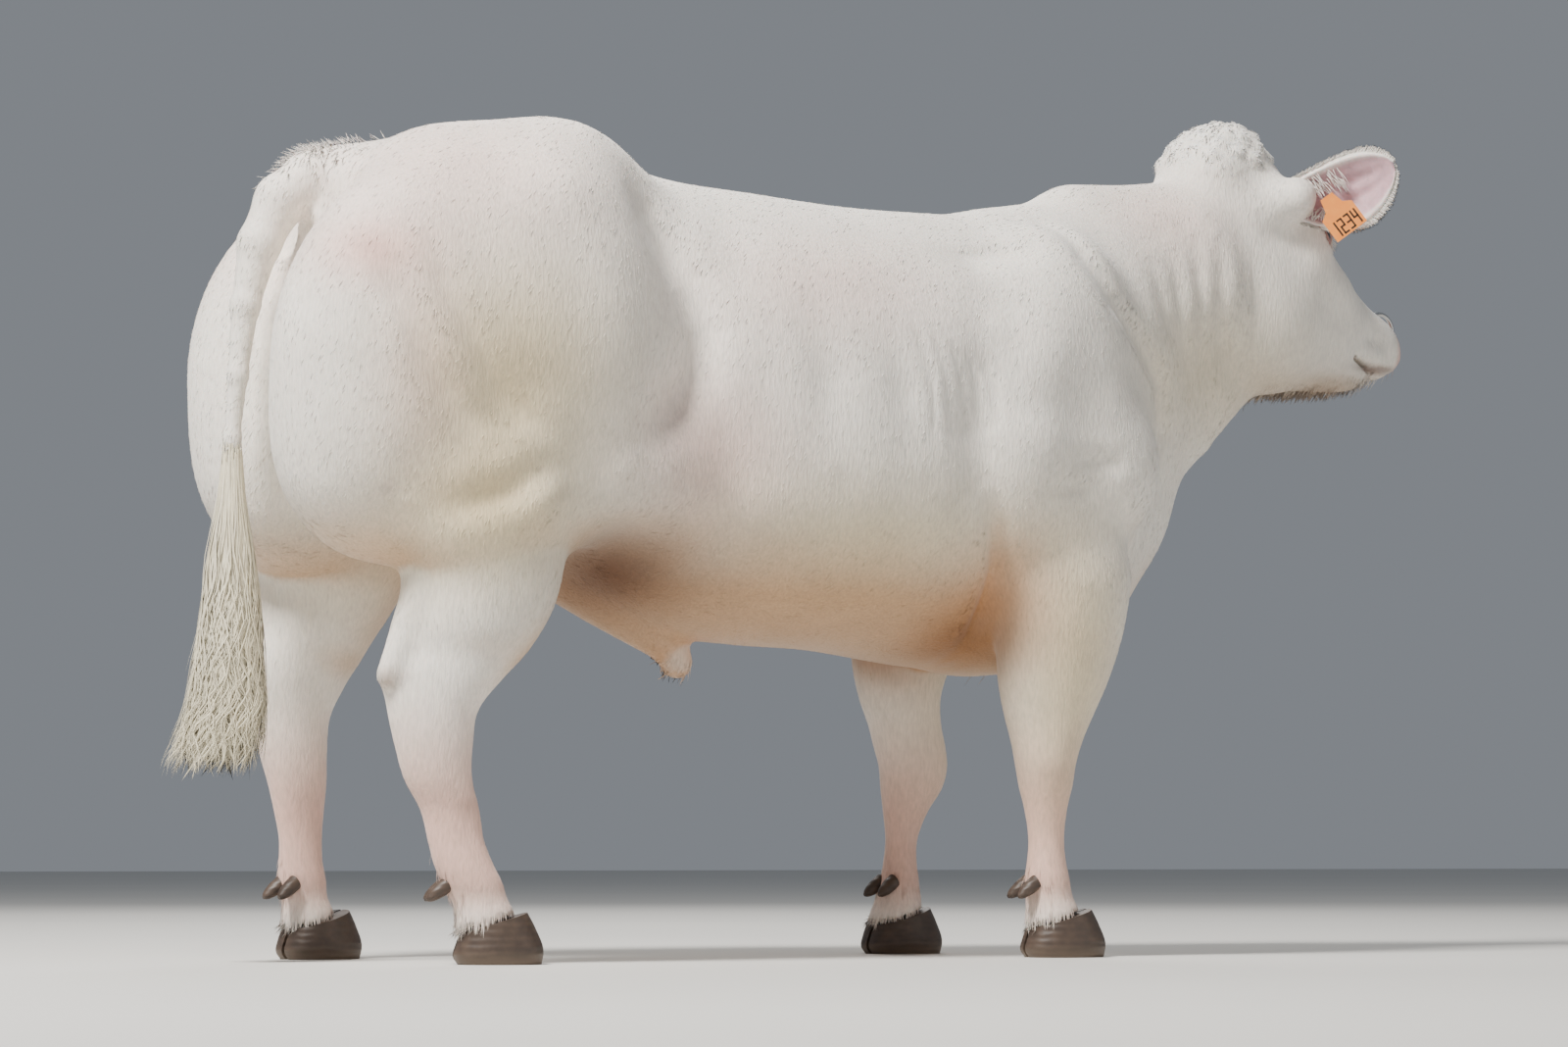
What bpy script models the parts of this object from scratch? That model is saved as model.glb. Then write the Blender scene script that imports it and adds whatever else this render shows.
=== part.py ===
"""Belgian Blue young bull, standing, built as closed solids in metres: X forward, Y left, Z up, on the ground."""
import math

import bmesh
import bpy
import numpy as np
from mathutils import Vector

GAP = 0.0003
EYE = 0.0205
SWITCH_LOCKS = 19
CORONET = 0.0585
EAR_LENGTH = 0.190
EAR_SAG = 0.016
TAG_LEVEL = 0.020
TAG_THICK = 0.0018
RING_MAJOR = 0.0285
RING_MINOR = 0.0035
POLL_CLUMPS = 46
CLUMP = 0.0165
GOLDEN = 2.39996


def spline(knots, values, t):
    """A smooth curve through values at knots, read at t."""
    knots = np.asarray(knots, float)
    values = np.asarray(values, float)
    slopes = np.gradient(values, knots)
    t = np.clip(t, knots[0], knots[-1])
    i = np.clip(np.searchsorted(knots, t) - 1, 0, len(knots) - 2)
    span = knots[i + 1] - knots[i]
    s = (t - knots[i]) / span
    return (
        values[i] * (1 + 2 * s) * (1 - s) ** 2
        + slopes[i] * span * s * (1 - s) ** 2
        + values[i + 1] * s * s * (3 - 2 * s)
        + slopes[i + 1] * span * s * s * (s - 1)
    )


def melt(a, b, blend):
    """The nearer of two distances, with a fillet about blend wide where they meet."""
    h = np.maximum(blend - np.abs(a - b), 0) / blend
    return np.minimum(a, b) - h * h * blend * 0.25


def turned(yaw=0.0, pitch=0.0, roll=0.0):
    """Rows are a form's own axes, turned in degrees: yaw about Z, then pitch about its Y, then roll about its X."""
    a, b, c = np.radians((yaw, pitch, roll))
    rz = np.array([[np.cos(a), -np.sin(a), 0], [np.sin(a), np.cos(a), 0], [0, 0, 1]])
    ry = np.array([[np.cos(b), 0, np.sin(b)], [0, 1, 0], [-np.sin(b), 0, np.cos(b)]])
    rx = np.array([[1, 0, 0], [0, np.cos(c), -np.sin(c)], [0, np.sin(c), np.cos(c)]])
    return (rz @ ry @ rx).T


class Ball:
    """An ellipsoid: centre, three radii, and its own axes."""

    def __init__(self, centre, radii, axes=np.eye(3)):
        self.centre, self.radii, self.axes = np.array(centre, float), np.array(radii, float), axes
        reach = np.sqrt((self.axes.T**2) @ (self.radii**2))
        self.low, self.high = self.centre - reach, self.centre + reach

    def distance(self, x, y, z):
        px, py, pz = x - self.centre[0], y - self.centre[1], z - self.centre[2]
        q = [px * a[0] + py * a[1] + pz * a[2] for a in self.axes]
        near = np.sqrt(sum((v / r) ** 2 for v, r in zip(q, self.radii))) + 1e-9
        steep = np.sqrt(sum((v / r**2) ** 2 for v, r in zip(q, self.radii))) + 1e-9
        return near * (near - 1) / steep


class Taper:
    """A rod from a to b with round ends, its radius going from ra to rb, flattened along `flat` to `ratio` of that."""

    def __init__(self, a, b, ra, rb, flat=(0, 1, 0), ratio=1.0):
        self.a, self.b, self.ra, self.rb = np.array(a, float), np.array(b, float), ra, rb
        self.flat, self.ratio = np.array(flat, float) / np.linalg.norm(flat), ratio
        reach = max(ra, rb)
        self.low = np.minimum(self.a, self.b) - reach
        self.high = np.maximum(self.a, self.b) + reach

    def distance(self, x, y, z):
        n, stretch = self.flat, 1 / self.ratio - 1
        px, py, pz = x - self.a[0], y - self.a[1], z - self.a[2]
        out = px * n[0] + py * n[1] + pz * n[2]
        d = self.b - self.a
        ds = d + n * (d @ n) * stretch
        px, py, pz = px + n[0] * out * stretch, py + n[1] * out * stretch, pz + n[2] * out * stretch
        t = np.clip((px * ds[0] + py * ds[1] + pz * ds[2]) / (ds @ ds), 0, 1)
        r = self.ra + (self.rb - self.ra) * t
        off = np.sqrt((px - ds[0] * t) ** 2 + (py - ds[1] * t) ** 2 + (pz - ds[2] * t) ** 2)
        return (off - r) * min(1.0, self.ratio)


class Barrel:
    """A long body along X, given by upright sections: x, top, bottom, half width, widest level, squareness."""

    def __init__(self, sections):
        rows = np.array(sorted(sections), float)
        self.x, self.rows = rows[:, 0], rows[:, 1:]
        wide = self.rows[:, 2].max()
        self.low = np.array([self.x[0], -wide, self.rows[:, 1].min()])
        self.high = np.array([self.x[-1], wide, self.rows[:, 0].max()])

    def distance(self, x, y, z):
        top, bottom, wide, level, square = (spline(self.x, self.rows[:, k], x) for k in range(5))
        tall = np.where(z > level, top - level, level - bottom)
        u, v = np.abs(y) / wide, np.abs(z - level) / tall
        total = (u + 1e-6) ** square + (v + 1e-6) ** square
        near = total ** (1 / square)
        steep = near ** (1 - square) * np.sqrt(
            ((u + 1e-6) ** (square - 1) / wide) ** 2 + ((v + 1e-6) ** (square - 1) / tall) ** 2
        )
        side = (near - 1) / np.maximum(steep, 1.0)
        over = np.maximum(x - self.x[-1], self.x[0] - x)
        return np.maximum(side, over)


class Pillow:
    """A form drawn in side view: a closed outline, and half widths and edge radii given at places in it."""

    CELL = 0.003

    def __init__(self, outline, places, square, origin, yaw):
        ring = smooth_ring(outline, 6)
        self.square, self.origin, self.turn = square, np.array(origin, float), np.radians(yaw)
        low, high = ring.min(0) - 0.06, ring.max(0) + 0.06
        self.start = low
        p, q = np.meshgrid(*(np.arange(a, b, self.CELL) for a, b in zip(low, high)), indexing="ij")
        nearest = line_distance(p, q, [*map(tuple, ring), tuple(ring[0])])
        inside = np.zeros(p.shape, bool)
        for (a0, a1), (b0, b1) in zip(ring, np.roll(ring, -1, 0)):
            spans = (a1 > q) != (b1 > q)
            inside ^= spans & (p < (b0 - a0) * (q - a1) / (b1 - a1 + 1e-12) + a0)
        self.depth = np.where(inside, nearest, -nearest)
        weights = [np.exp(-((p - u) ** 2 + (q - z) ** 2) / (2 * spread**2)) + 1e-12
                   for u, z, _, _, spread in places]
        total = sum(weights)
        self.wide = sum(w * row[2] for w, row in zip(weights, places)) / total
        self.edge = sum(w * row[3] for w, row in zip(weights, places)) / total
        c, s, reach = np.cos(self.turn), np.sin(self.turn), max(row[2] for row in places)
        ends = np.array([(u * c - v * s, u * s + v * c) for u in (low[0], high[0]) for v in (-reach, reach)])
        self.low = np.array([*(ends.min(0) + self.origin[:2]), low[1]])
        self.high = np.array([*(ends.max(0) + self.origin[:2]), high[1]])

    def distance(self, x, y, z):
        c, s = np.cos(self.turn), np.sin(self.turn)
        u = (x - self.origin[0]) * c + (y - self.origin[1]) * s
        v = np.abs(-(x - self.origin[0]) * s + (y - self.origin[1]) * c)
        i = np.clip((u - self.start[0]) / self.CELL, 0, self.depth.shape[0] - 1.001)
        j = np.clip((z - self.start[1]) / self.CELL, 0, self.depth.shape[1] - 1.001)
        i0, j0 = i.astype(int), j.astype(int)
        fi, fj = i - i0, j - j0

        def read(chart):
            return ((chart[i0, j0] * (1 - fi) + chart[i0 + 1, j0] * fi) * (1 - fj)
                    + (chart[i0, j0 + 1] * (1 - fi) + chart[i0 + 1, j0 + 1] * fi) * fj)

        depth, wide, edge, n = read(self.depth), read(self.wide), read(self.edge), self.square
        a, b = v / wide + 1e-6, np.maximum(edge - depth, 0) / edge + 1e-6
        near = (a**n + b**n) ** (1 / n)
        steep = near ** (1 - n) * np.sqrt((a ** (n - 1) / wide) ** 2 + (b ** (n - 1) / edge) ** 2)
        return (near - 1) / np.maximum(steep, 3.0)


def smooth_ring(points, count):
    """A closed smooth curve through points, with count steps from each to the next."""
    p = np.array(points, float)
    before, after, later = np.roll(p, 1, 0), np.roll(p, -1, 0), np.roll(p, -2, 0)
    steps = []
    for t in np.arange(count) / count:
        steps.append(0.5 * (2 * p + (after - before) * t + (2 * before - 5 * p + 4 * after - later) * t * t
                            + (3 * p - before - 3 * after + later) * t**3))
    return np.stack(steps, 1).reshape(-1, 2)


def mirrored(form):
    """The same form on the animal's other side."""
    twin = type(form).__new__(type(form))
    twin.__dict__ = dict(form.__dict__)
    flip = np.array([1.0, -1.0, 1.0])
    inner = form.distance

    def distance(x, y, z):
        return inner(x, -y, z)

    twin.distance = distance
    low, high = form.low * flip, form.high * flip
    twin.low, twin.high = np.minimum(low, high), np.maximum(low, high)
    return twin


def line_distance(p, q, points):
    """Distance in the plane from (p, q) to a line through points."""
    best = None
    for (a0, a1), (b0, b1) in zip(points[:-1], points[1:]):
        d0, d1 = b0 - a0, b1 - a1
        t = np.clip(((p - a0) * d0 + (q - a1) * d1) / (d0 * d0 + d1 * d1 + 1e-12), 0, 1)
        away = np.hypot(p - a0 - d0 * t, q - a1 - d1 * t)
        best = away if best is None else np.minimum(best, away)
    return best


class Clay:
    """Distances to the skin on a grid, negative inside. Forms are added, cut away, or raised and pressed in."""

    def __init__(self, xs, ys, zs):
        self.axes = [np.asarray(v, np.float32) for v in (xs, ys, zs)]
        self.field = np.full([len(v) for v in self.axes], 1.0, np.float32)

    def window(self, low, high, margin):
        spans = []
        for axis, lo, hi in zip(self.axes, low, high):
            i, j = np.searchsorted(axis, (lo - margin, hi + margin))
            if j - i < 1:
                return None, None
            spans.append(slice(i, j))
        x, y, z = (axis[s] for axis, s in zip(self.axes, spans))
        return tuple(spans), (x[:, None, None], y[None, :, None], z[None, None, :])

    def add(self, form, blend=0.02):
        spans, xyz = self.window(form.low, form.high, blend + 0.03)
        if spans is not None:
            self.field[spans] = melt(self.field[spans], form.distance(*xyz), blend)

    def add_pair(self, form, blend=0.02):
        self.add(form, blend)
        self.add(mirrored(form), blend)

    def cut(self, form, blend=0.01):
        spans, xyz = self.window(form.low, form.high, blend + 0.03)
        if spans is not None:
            self.field[spans] = -melt(-self.field[spans], form.distance(*xyz), blend)

    def cut_pair(self, form, blend=0.01):
        self.cut(form, blend)
        self.cut(mirrored(form), blend)

    def groove(self, points, width, depth, side=0, fade=0.04, clear=0.0):
        """Presses a line in, drawn in side view as (x, z) points. side is 1 left, -1 right or 0 both."""
        pts = np.array(points, float)
        low = [pts[:, 0].min(), -9, pts[:, 1].min()]
        high = [pts[:, 0].max(), 9, pts[:, 1].max()]
        spans, xyz = self.window(low, high, 2.6 * width)
        if spans is None:
            return
        x, y, z = xyz
        away = line_distance(x[:, 0, 0][:, None], z[0, 0][None, :], points)
        ends = [np.hypot(x[:, 0, 0][:, None] - e[0], z[0, 0][None, :] - e[1]) for e in (pts[0], pts[-1])]
        relief = depth * np.exp(-((away / width) ** 2)) * np.clip(np.minimum(*ends) / (4 * width), 0, 1)
        self._relief(spans, relief[:, None, :], y, side, fade, clear)

    def swell(self, centre, radii, height, tilt=0.0, side=0, fade=0.04, clear=0.0):
        """Raises a soft mound, drawn in side view: centre (x, z), two radii, and a tilt in degrees."""
        reach = max(radii) * 1.8
        low = [centre[0] - reach, -9, centre[1] - reach]
        high = [centre[0] + reach, 9, centre[1] + reach]
        spans, xyz = self.window(low, high, 0.0)
        if spans is None:
            return
        x, y, z = xyz
        c, s = np.cos(np.radians(tilt)), np.sin(np.radians(tilt))
        p, q = x[:, 0, 0][:, None] - centre[0], z[0, 0][None, :] - centre[1]
        r2 = ((p * c + q * s) / radii[0]) ** 2 + ((-p * s + q * c) / radii[1]) ** 2
        relief = -height * np.exp(-1.2 * r2)
        self._relief(spans, relief[:, None, :], y, side, fade, clear)

    def _relief(self, spans, relief, y, side, fade, clear):
        if side > 0:
            share = np.clip((y - clear) / fade, 0, 1)
        elif side < 0:
            share = np.clip((-y - clear) / fade, 0, 1)
        else:
            share = np.clip((np.abs(y) - clear) / fade, 0, 1)
        self.field[spans] += (relief * share).astype(np.float32)


def fill_pinches(field):
    """Fills the few grid corners where two sheets of skin would meet at a point or an edge."""
    inside = field < 0
    for _ in range(12):
        pinch = np.zeros_like(inside)
        for a, b in ((0, 1), (0, 2), (1, 2)):
            s = [[slice(None)] * 3 for _ in range(4)]
            for k, (i, j) in enumerate(((0, 0), (0, 1), (1, 0), (1, 1))):
                s[k][a] = slice(i, -1 if i == 0 else None)
                s[k][b] = slice(j, -1 if j == 0 else None)
            p00, p01, p10, p11 = (inside[tuple(v)] for v in s)
            bad = (p00 == p11) & (p01 == p10) & (p00 != p01)
            for v in s:
                pinch[tuple(v)] |= bad
        c = [inside[i : inside.shape[0] - 1 + i, j : inside.shape[1] - 1 + j, k : inside.shape[2] - 1 + k]
             for i in (0, 1) for j in (0, 1) for k in (0, 1)]
        total = sum(v.astype(np.int8) for v in c)
        for a in range(4):
            two = (total == 2) & c[a] & c[7 - a]
            six = (total == 6) & ~c[a] & ~c[7 - a]
            if two.any() or six.any():
                bad = two | six
                nx, ny, nz = bad.shape
                for i, j, k in np.ndindex(2, 2, 2):
                    pinch[i : nx + i, j : ny + j, k : nz + k] |= bad
        pinch &= ~inside
        if not pinch.any():
            break
        field[pinch] = -1e-5
        inside |= pinch
    return field


def net(axes, field):
    """The surface where field is zero, as points and four-sided faces with their fronts outwards."""
    field = fill_pinches(field)
    inside = field < 0
    nx, ny, nz = field.shape
    corners = [(i, j, k) for i in (0, 1) for j in (0, 1) for k in (0, 1)]

    def view(a, c):
        return a[c[0] : nx - 1 + c[0], c[1] : ny - 1 + c[1], c[2] : nz - 1 + c[2]]

    count = sum(view(inside, c).astype(np.int8) for c in corners)
    cells = np.argwhere((count > 0) & (count < 8))
    index = np.full((nx - 1, ny - 1, nz - 1), -1, np.int64)
    index[tuple(cells.T)] = np.arange(len(cells))
    values = np.stack([field[tuple((cells + c).T)] for c in corners], 1)
    total, hits = np.zeros((len(cells), 3)), np.zeros(len(cells))
    for a in range(8):
        for b in range(a + 1, 8):
            ca, cb = np.array(corners[a]), np.array(corners[b])
            if abs(ca - cb).sum() != 1:
                continue
            fa, fb = values[:, a], values[:, b]
            cross = (fa < 0) != (fb < 0)
            t = np.where(cross, fa / np.where(cross, fa - fb, 1), 0)
            total += (cross[:, None]) * (ca + (cb - ca) * t[:, None])
            hits += cross
    where = cells + total / hits[:, None]
    base = np.floor(where).astype(int)
    points = np.empty_like(where)
    for k in range(3):
        axis = axes[k].astype(float)
        i = np.clip(base[:, k], 0, len(axis) - 2)
        points[:, k] = axis[i] + (axis[i + 1] - axis[i]) * (where[:, k] - i)
    faces = []
    for k in range(3):
        a, b = (k + 1) % 3, (k + 2) % 3
        near = [slice(None)] * 3
        far = [slice(None)] * 3
        near[k], far[k] = slice(0, -1), slice(1, None)
        cross = inside[tuple(near)] != inside[tuple(far)]
        cross_inner = np.zeros_like(cross)
        keep = [slice(None)] * 3
        keep[a], keep[b] = slice(1, -1), slice(1, -1)
        cross_inner[tuple(keep)] = cross[tuple(keep)]
        e = np.argwhere(cross_inner)
        ea, eb = np.zeros(3, int), np.zeros(3, int)
        ea[a], eb[b] = 1, 1
        quad = np.stack([index[tuple((e - da * ea - db * eb).T)] for da, db in ((1, 1), (0, 1), (0, 0), (1, 0))], 1)
        out = inside[tuple(e.T)]
        quad[~out] = quad[~out][:, ::-1]
        faces.append(quad)
    return points, np.concatenate(faces)


HEAD = np.array([0.70, 0.0, 0.0])
TURN = 12.0


def hp(u, v, z):
    """A place given in the head's own directions: u forward, v left, z up."""
    a = np.radians(TURN)
    return HEAD + (u * np.cos(a) - v * np.sin(a), u * np.sin(a) + v * np.cos(a), z)


def eye_place(side):
    """The eye's centre, and the directions of its slit, its height and its gaze. side is -1 right, 1 left."""
    centre = hp(0.205, side * 0.093, 1.130)
    gaze = hp(0.48, side * 0.87, 0.04) - HEAD
    gaze /= np.linalg.norm(gaze)
    slit = hp(0.74, 0, -0.67) - HEAD
    slit -= gaze * (slit @ gaze)
    slit /= np.linalg.norm(slit)
    return centre, np.array([slit, np.cross(gaze, slit), gaze])


def ear_place(side):
    """The ear's root, the way it points, and the way its hollow faces. side is -1 right, 1 left."""
    a = np.radians(TURN)
    root = hp(0.120, side * 0.092, 1.178)
    axis, towards = np.array([0.62, 0.72 * side, 0.27]), np.array([-0.35, 0.93 * side, 0.05])
    spin = np.array([[np.cos(a), -np.sin(a), 0], [np.sin(a), np.cos(a), 0], [0, 0, 1]])
    return root, spin @ axis, spin @ towards


class Leg:
    """A leg: level sections of height, centre x and y, radius along and across, all turned out by yaw."""

    def __init__(self, sections, yaw):
        rows = np.array(sorted(sections), float)
        self.z, self.rows, self.yaw = rows[:, 0], rows[:, 1:], np.radians(yaw)
        reach = self.rows[:, 2:].max()
        self.low = np.array([*(self.rows[:, :2].min(0) - reach), self.z[0]])
        self.high = np.array([*(self.rows[:, :2].max(0) + reach), self.z[-1]])

    def distance(self, x, y, z):
        cx, cy, rx, ry = (spline(self.z, self.rows[:, k], z) for k in range(4))
        c, s = np.cos(self.yaw), np.sin(self.yaw)
        u, v = ((x - cx) * c + (y - cy) * s) / rx, (-(x - cx) * s + (y - cy) * c) / ry
        near = np.sqrt(u * u + v * v) + 1e-9
        steep = np.sqrt((u / rx) ** 2 + (v / ry) ** 2) + 1e-9
        side = near * (near - 1) / steep
        over = np.maximum(z - self.z[-1], self.z[0] - z)
        return np.maximum(side, over)


def trunk(clay):
    clay.add(Barrel([
        (-0.76, 1.080, 0.90, 0.060, 0.98, 2.0),
        (-0.68, 1.155, 0.76, 0.160, 0.97, 2.0),
        (-0.57, 1.190, 0.66, 0.225, 0.95, 2.1),
        (-0.45, 1.195, 0.590, 0.255, 0.92, 2.2),
        (-0.33, 1.178, 0.515, 0.250, 0.88, 2.25),
        (-0.24, 1.156, 0.480, 0.258, 0.85, 2.3),
        (-0.08, 1.140, 0.462, 0.280, 0.81, 2.35),
        (0.06, 1.130, 0.455, 0.288, 0.79, 2.35),
        (0.20, 1.130, 0.435, 0.280, 0.80, 2.25),
        (0.34, 1.134, 0.422, 0.255, 0.82, 2.2),
        (0.46, 1.140, 0.460, 0.210, 0.84, 2.1),
        (0.56, 1.120, 0.560, 0.150, 0.87, 2.0),
        (0.64, 1.060, 0.700, 0.090, 0.89, 2.0),
        (0.70, 1.000, 0.820, 0.030, 0.91, 2.0)]), 0.04)
    # Neck, from its crest to the throat.
    clay.add(Taper((0.38, 0.0, 1.03), (0.685, 0.006, 1.115), 0.100, 0.088), 0.08)
    clay.add(Taper((0.50, 0.0, 1.125), (0.68, 0.008, 1.130), 0.070, 0.072), 0.04)
    clay.add(Taper((0.44, 0.0, 0.92), (0.690, 0.006, 1.030), 0.165, 0.118), 0.08)
    clay.add(Taper((0.512, 0.0, 0.742), (0.756, 0.008, 0.946), 0.130, 0.098, (0, 1, 0), 0.78), 0.05)
    # Brisket.
    clay.add(Ball((0.45, 0.0, 0.62), (0.155, 0.12, 0.17), turned(0, 30, 0)), 0.06)
    clay.add(Ball((0.57, 0.0, 0.68), (0.085, 0.07, 0.10), turned(0, 30, 0)), 0.05)


def hindquarters(clay):
    # Rump and thigh masses.
    clay.add_pair(Ball((-0.445, -0.125, 1.035), (0.175, 0.145, 0.180), turned(0, 8, 12)), 0.05)
    clay.add_pair(Ball((-0.56, -0.10, 1.06), (0.17, 0.12, 0.135), turned(0, 14, 12)), 0.05)
    clay.add_pair(Ball((-0.465, -0.165, 0.88), (0.195, 0.155, 0.27), turned(0, -12, 6)), 0.05)
    for side, dx in ((-1, 0.0), (1, -0.012)):
        rump = Ball((-0.640 + dx, side * 0.165, 0.855), (0.228, 0.148, 0.285), turned(0, 8, -side * 4))
        clay.add(rump, 0.05)
        clay.add(Ball((-0.70 + dx, side * 0.152, 0.725), (0.152, 0.120, 0.165), turned(0, 10, 0)), 0.05)
    # Stifle and the top of the gaskin.
    clay.add(Ball((-0.515, -0.190, 0.71), (0.135, 0.105, 0.13), turned(0, -25, 0)), 0.05)
    clay.add(Taper((-0.490, -0.185, 0.68), (-0.585, -0.198, 0.49), 0.105, 0.080, (0, 1, 0), 0.85), 0.04)
    clay.add(Ball((-0.560, 0.190, 0.71), (0.135, 0.105, 0.13), turned(0, -25, 0)), 0.05)
    clay.add(Taper((-0.560, 0.185, 0.68), (-0.665, 0.198, 0.49), 0.105, 0.078, (0, 1, 0), 0.85), 0.04)
    # The gaskins run up into the thighs.
    clay.add(Ball((-0.590, -0.203, 0.640), (0.120, 0.092, 0.125)), 0.05)
    clay.add(Ball((-0.655, 0.203, 0.640), (0.115, 0.090, 0.125)), 0.05)
    # Tail head.
    clay.add(Ball((-0.66, 0.0, 1.100), (0.12, 0.075, 0.068), turned(0, 15, 0)), 0.05)
    # Fold of the flank, and the hollow under it.
    clay.add_pair(Ball((-0.360, -0.190, 0.705), (0.125, 0.085, 0.100), turned(0, 20, 0)), 0.07)
    clay.cut_pair(Ball((-0.350, -0.300, 0.500), (0.112, 0.185, 0.130), turned(0, 14, 0)), 0.012)


def legs(clay):
    near_hind = [
        (0.630, -0.535, -0.180, 0.060, 0.045),
        (0.560, -0.562, -0.196, 0.110, 0.070),
        (0.508, -0.572, -0.198, 0.112, 0.071),
        (0.467, -0.588, -0.198, 0.108, 0.064),
        (0.433, -0.603, -0.197, 0.099, 0.056),
        (0.398, -0.625, -0.196, 0.088, 0.050),
        (0.358, -0.639, -0.196, 0.069, 0.045),
        (0.304, -0.638, -0.196, 0.058, 0.042),
        (0.257, -0.631, -0.196, 0.051, 0.038),
        (0.215, -0.614, -0.197, 0.045, 0.032),
        (0.173, -0.605, -0.198, 0.043, 0.030),
        (0.140, -0.594, -0.199, 0.045, 0.035),
        (0.115, -0.582, -0.200, 0.046, 0.039),
        (0.090, -0.570, -0.200, 0.043, 0.039),
        (0.068, -0.560, -0.200, 0.047, 0.045),
        (0.050, -0.554, -0.200, 0.052, 0.050),
        (0.026, -0.548, -0.200, 0.052, 0.050)]
    far_hind = [
        (0.630, -0.600, 0.180, 0.060, 0.045),
        (0.560, -0.640, 0.196, 0.105, 0.070),
        (0.508, -0.657, 0.198, 0.102, 0.070),
        (0.467, -0.675, 0.198, 0.097, 0.062),
        (0.433, -0.690, 0.197, 0.093, 0.055),
        (0.398, -0.702, 0.196, 0.084, 0.049),
        (0.358, -0.708, 0.196, 0.068, 0.044),
        (0.304, -0.705, 0.196, 0.058, 0.041),
        (0.257, -0.698, 0.196, 0.050, 0.037),
        (0.215, -0.694, 0.198, 0.043, 0.031),
        (0.173, -0.691, 0.199, 0.037, 0.029),
        (0.140, -0.690, 0.200, 0.037, 0.033),
        (0.115, -0.688, 0.200, 0.039, 0.038),
        (0.090, -0.684, 0.200, 0.037, 0.038),
        (0.068, -0.678, 0.200, 0.042, 0.044),
        (0.050, -0.672, 0.200, 0.048, 0.049),
        (0.026, -0.668, 0.200, 0.048, 0.049)]
    near_front = [
        (0.660, 0.395, -0.165, 0.060, 0.045),
        (0.577, 0.380, -0.176, 0.105, 0.080),
        (0.510, 0.376, -0.176, 0.106, 0.078),
        (0.450, 0.370, -0.173, 0.098, 0.069),
        (0.402, 0.363, -0.172, 0.087, 0.061),
        (0.361, 0.358, -0.170, 0.073, 0.055),
        (0.320, 0.354, -0.170, 0.058, 0.050),
        (0.290, 0.352, -0.170, 0.050, 0.048),
        (0.255, 0.352, -0.170, 0.044, 0.043),
        (0.220, 0.352, -0.170, 0.036, 0.033),
        (0.170, 0.353, -0.170, 0.031, 0.028),
        (0.140, 0.353, -0.170, 0.033, 0.033),
        (0.115, 0.354, -0.170, 0.037, 0.038),
        (0.090, 0.358, -0.170, 0.038, 0.039),
        (0.068, 0.364, -0.170, 0.044, 0.045),
        (0.050, 0.370, -0.170, 0.050, 0.050),
        (0.026, 0.374, -0.170, 0.050, 0.050)]
    far_front = [
        (0.660, 0.350, 0.165, 0.060, 0.045),
        (0.577, 0.320, 0.174, 0.105, 0.080),
        (0.510, 0.300, 0.170, 0.100, 0.078),
        (0.450, 0.283, 0.162, 0.086, 0.069),
        (0.395, 0.277, 0.157, 0.070, 0.060),
        (0.350, 0.284, 0.153, 0.063, 0.053),
        (0.318, 0.291, 0.151, 0.063, 0.050),
        (0.290, 0.296, 0.150, 0.060, 0.049),
        (0.255, 0.293, 0.150, 0.054, 0.045),
        (0.220, 0.283, 0.150, 0.040, 0.036),
        (0.170, 0.275, 0.150, 0.028, 0.028),
        (0.140, 0.273, 0.150, 0.029, 0.031),
        (0.115, 0.272, 0.150, 0.032, 0.036),
        (0.090, 0.270, 0.150, 0.038, 0.038),
        (0.068, 0.268, 0.150, 0.043, 0.045),
        (0.050, 0.268, 0.150, 0.050, 0.050),
        (0.026, 0.270, 0.150, 0.050, 0.050)]
    clay.add(Leg(near_hind, -16), 0.02)
    clay.add(Leg(far_hind, 14), 0.02)
    clay.add(Leg(near_front, -6), 0.02)
    clay.add(Leg(far_front, 6), 0.02)
    # Points of the hocks and the cords above them.
    clay.add(Taper((-0.706, -0.196, 0.402), (-0.650, -0.196, 0.545), 0.020, 0.028), 0.02)
    clay.add(Taper((-0.778, 0.190, 0.402), (-0.735, 0.196, 0.545), 0.020, 0.028), 0.02)


def shoulders(clay):
    for side, dx in ((-1, 0.0), (1, -0.03)):
        clay.add(Ball((0.33 + dx, side * 0.160, 0.88), (0.14, 0.105, 0.225), turned(0, 20, 0)), 0.06)
        clay.add(Ball((0.43 + dx, side * 0.168, 0.74), (0.115, 0.095, 0.125), turned(0, -10, 0)), 0.05)
        clay.add(Ball((0.29 + dx, side * 0.180, 0.70), (0.13, 0.092, 0.12), turned(0, 30, 0)), 0.05)
        clay.add(Ball((0.375 + dx, side * 0.178, 0.58), (0.108, 0.076, 0.12), turned(0, 0, 0)), 0.04)


# The head in side view: forward and height, from the back of the poll over the face and round the jaw.
PROFILE = [(-0.012, 1.190), (-0.020, 1.228), (-0.008, 1.263), (0.030, 1.296), (0.076, 1.311),
           (0.110, 1.300), (0.142, 1.265),
           (0.184, 1.222), (0.234, 1.175), (0.274, 1.132), (0.312, 1.092), (0.362, 1.056),
           (0.408, 1.026), (0.438, 0.998),
           (0.449, 0.968), (0.444, 0.942), (0.418, 0.927), (0.383, 0.920), (0.352, 0.910),
           (0.310, 0.902), (0.250, 0.896),
           (0.190, 0.892), (0.140, 0.896), (0.102, 0.930), (0.070, 1.000), (0.020, 1.090)]
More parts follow.
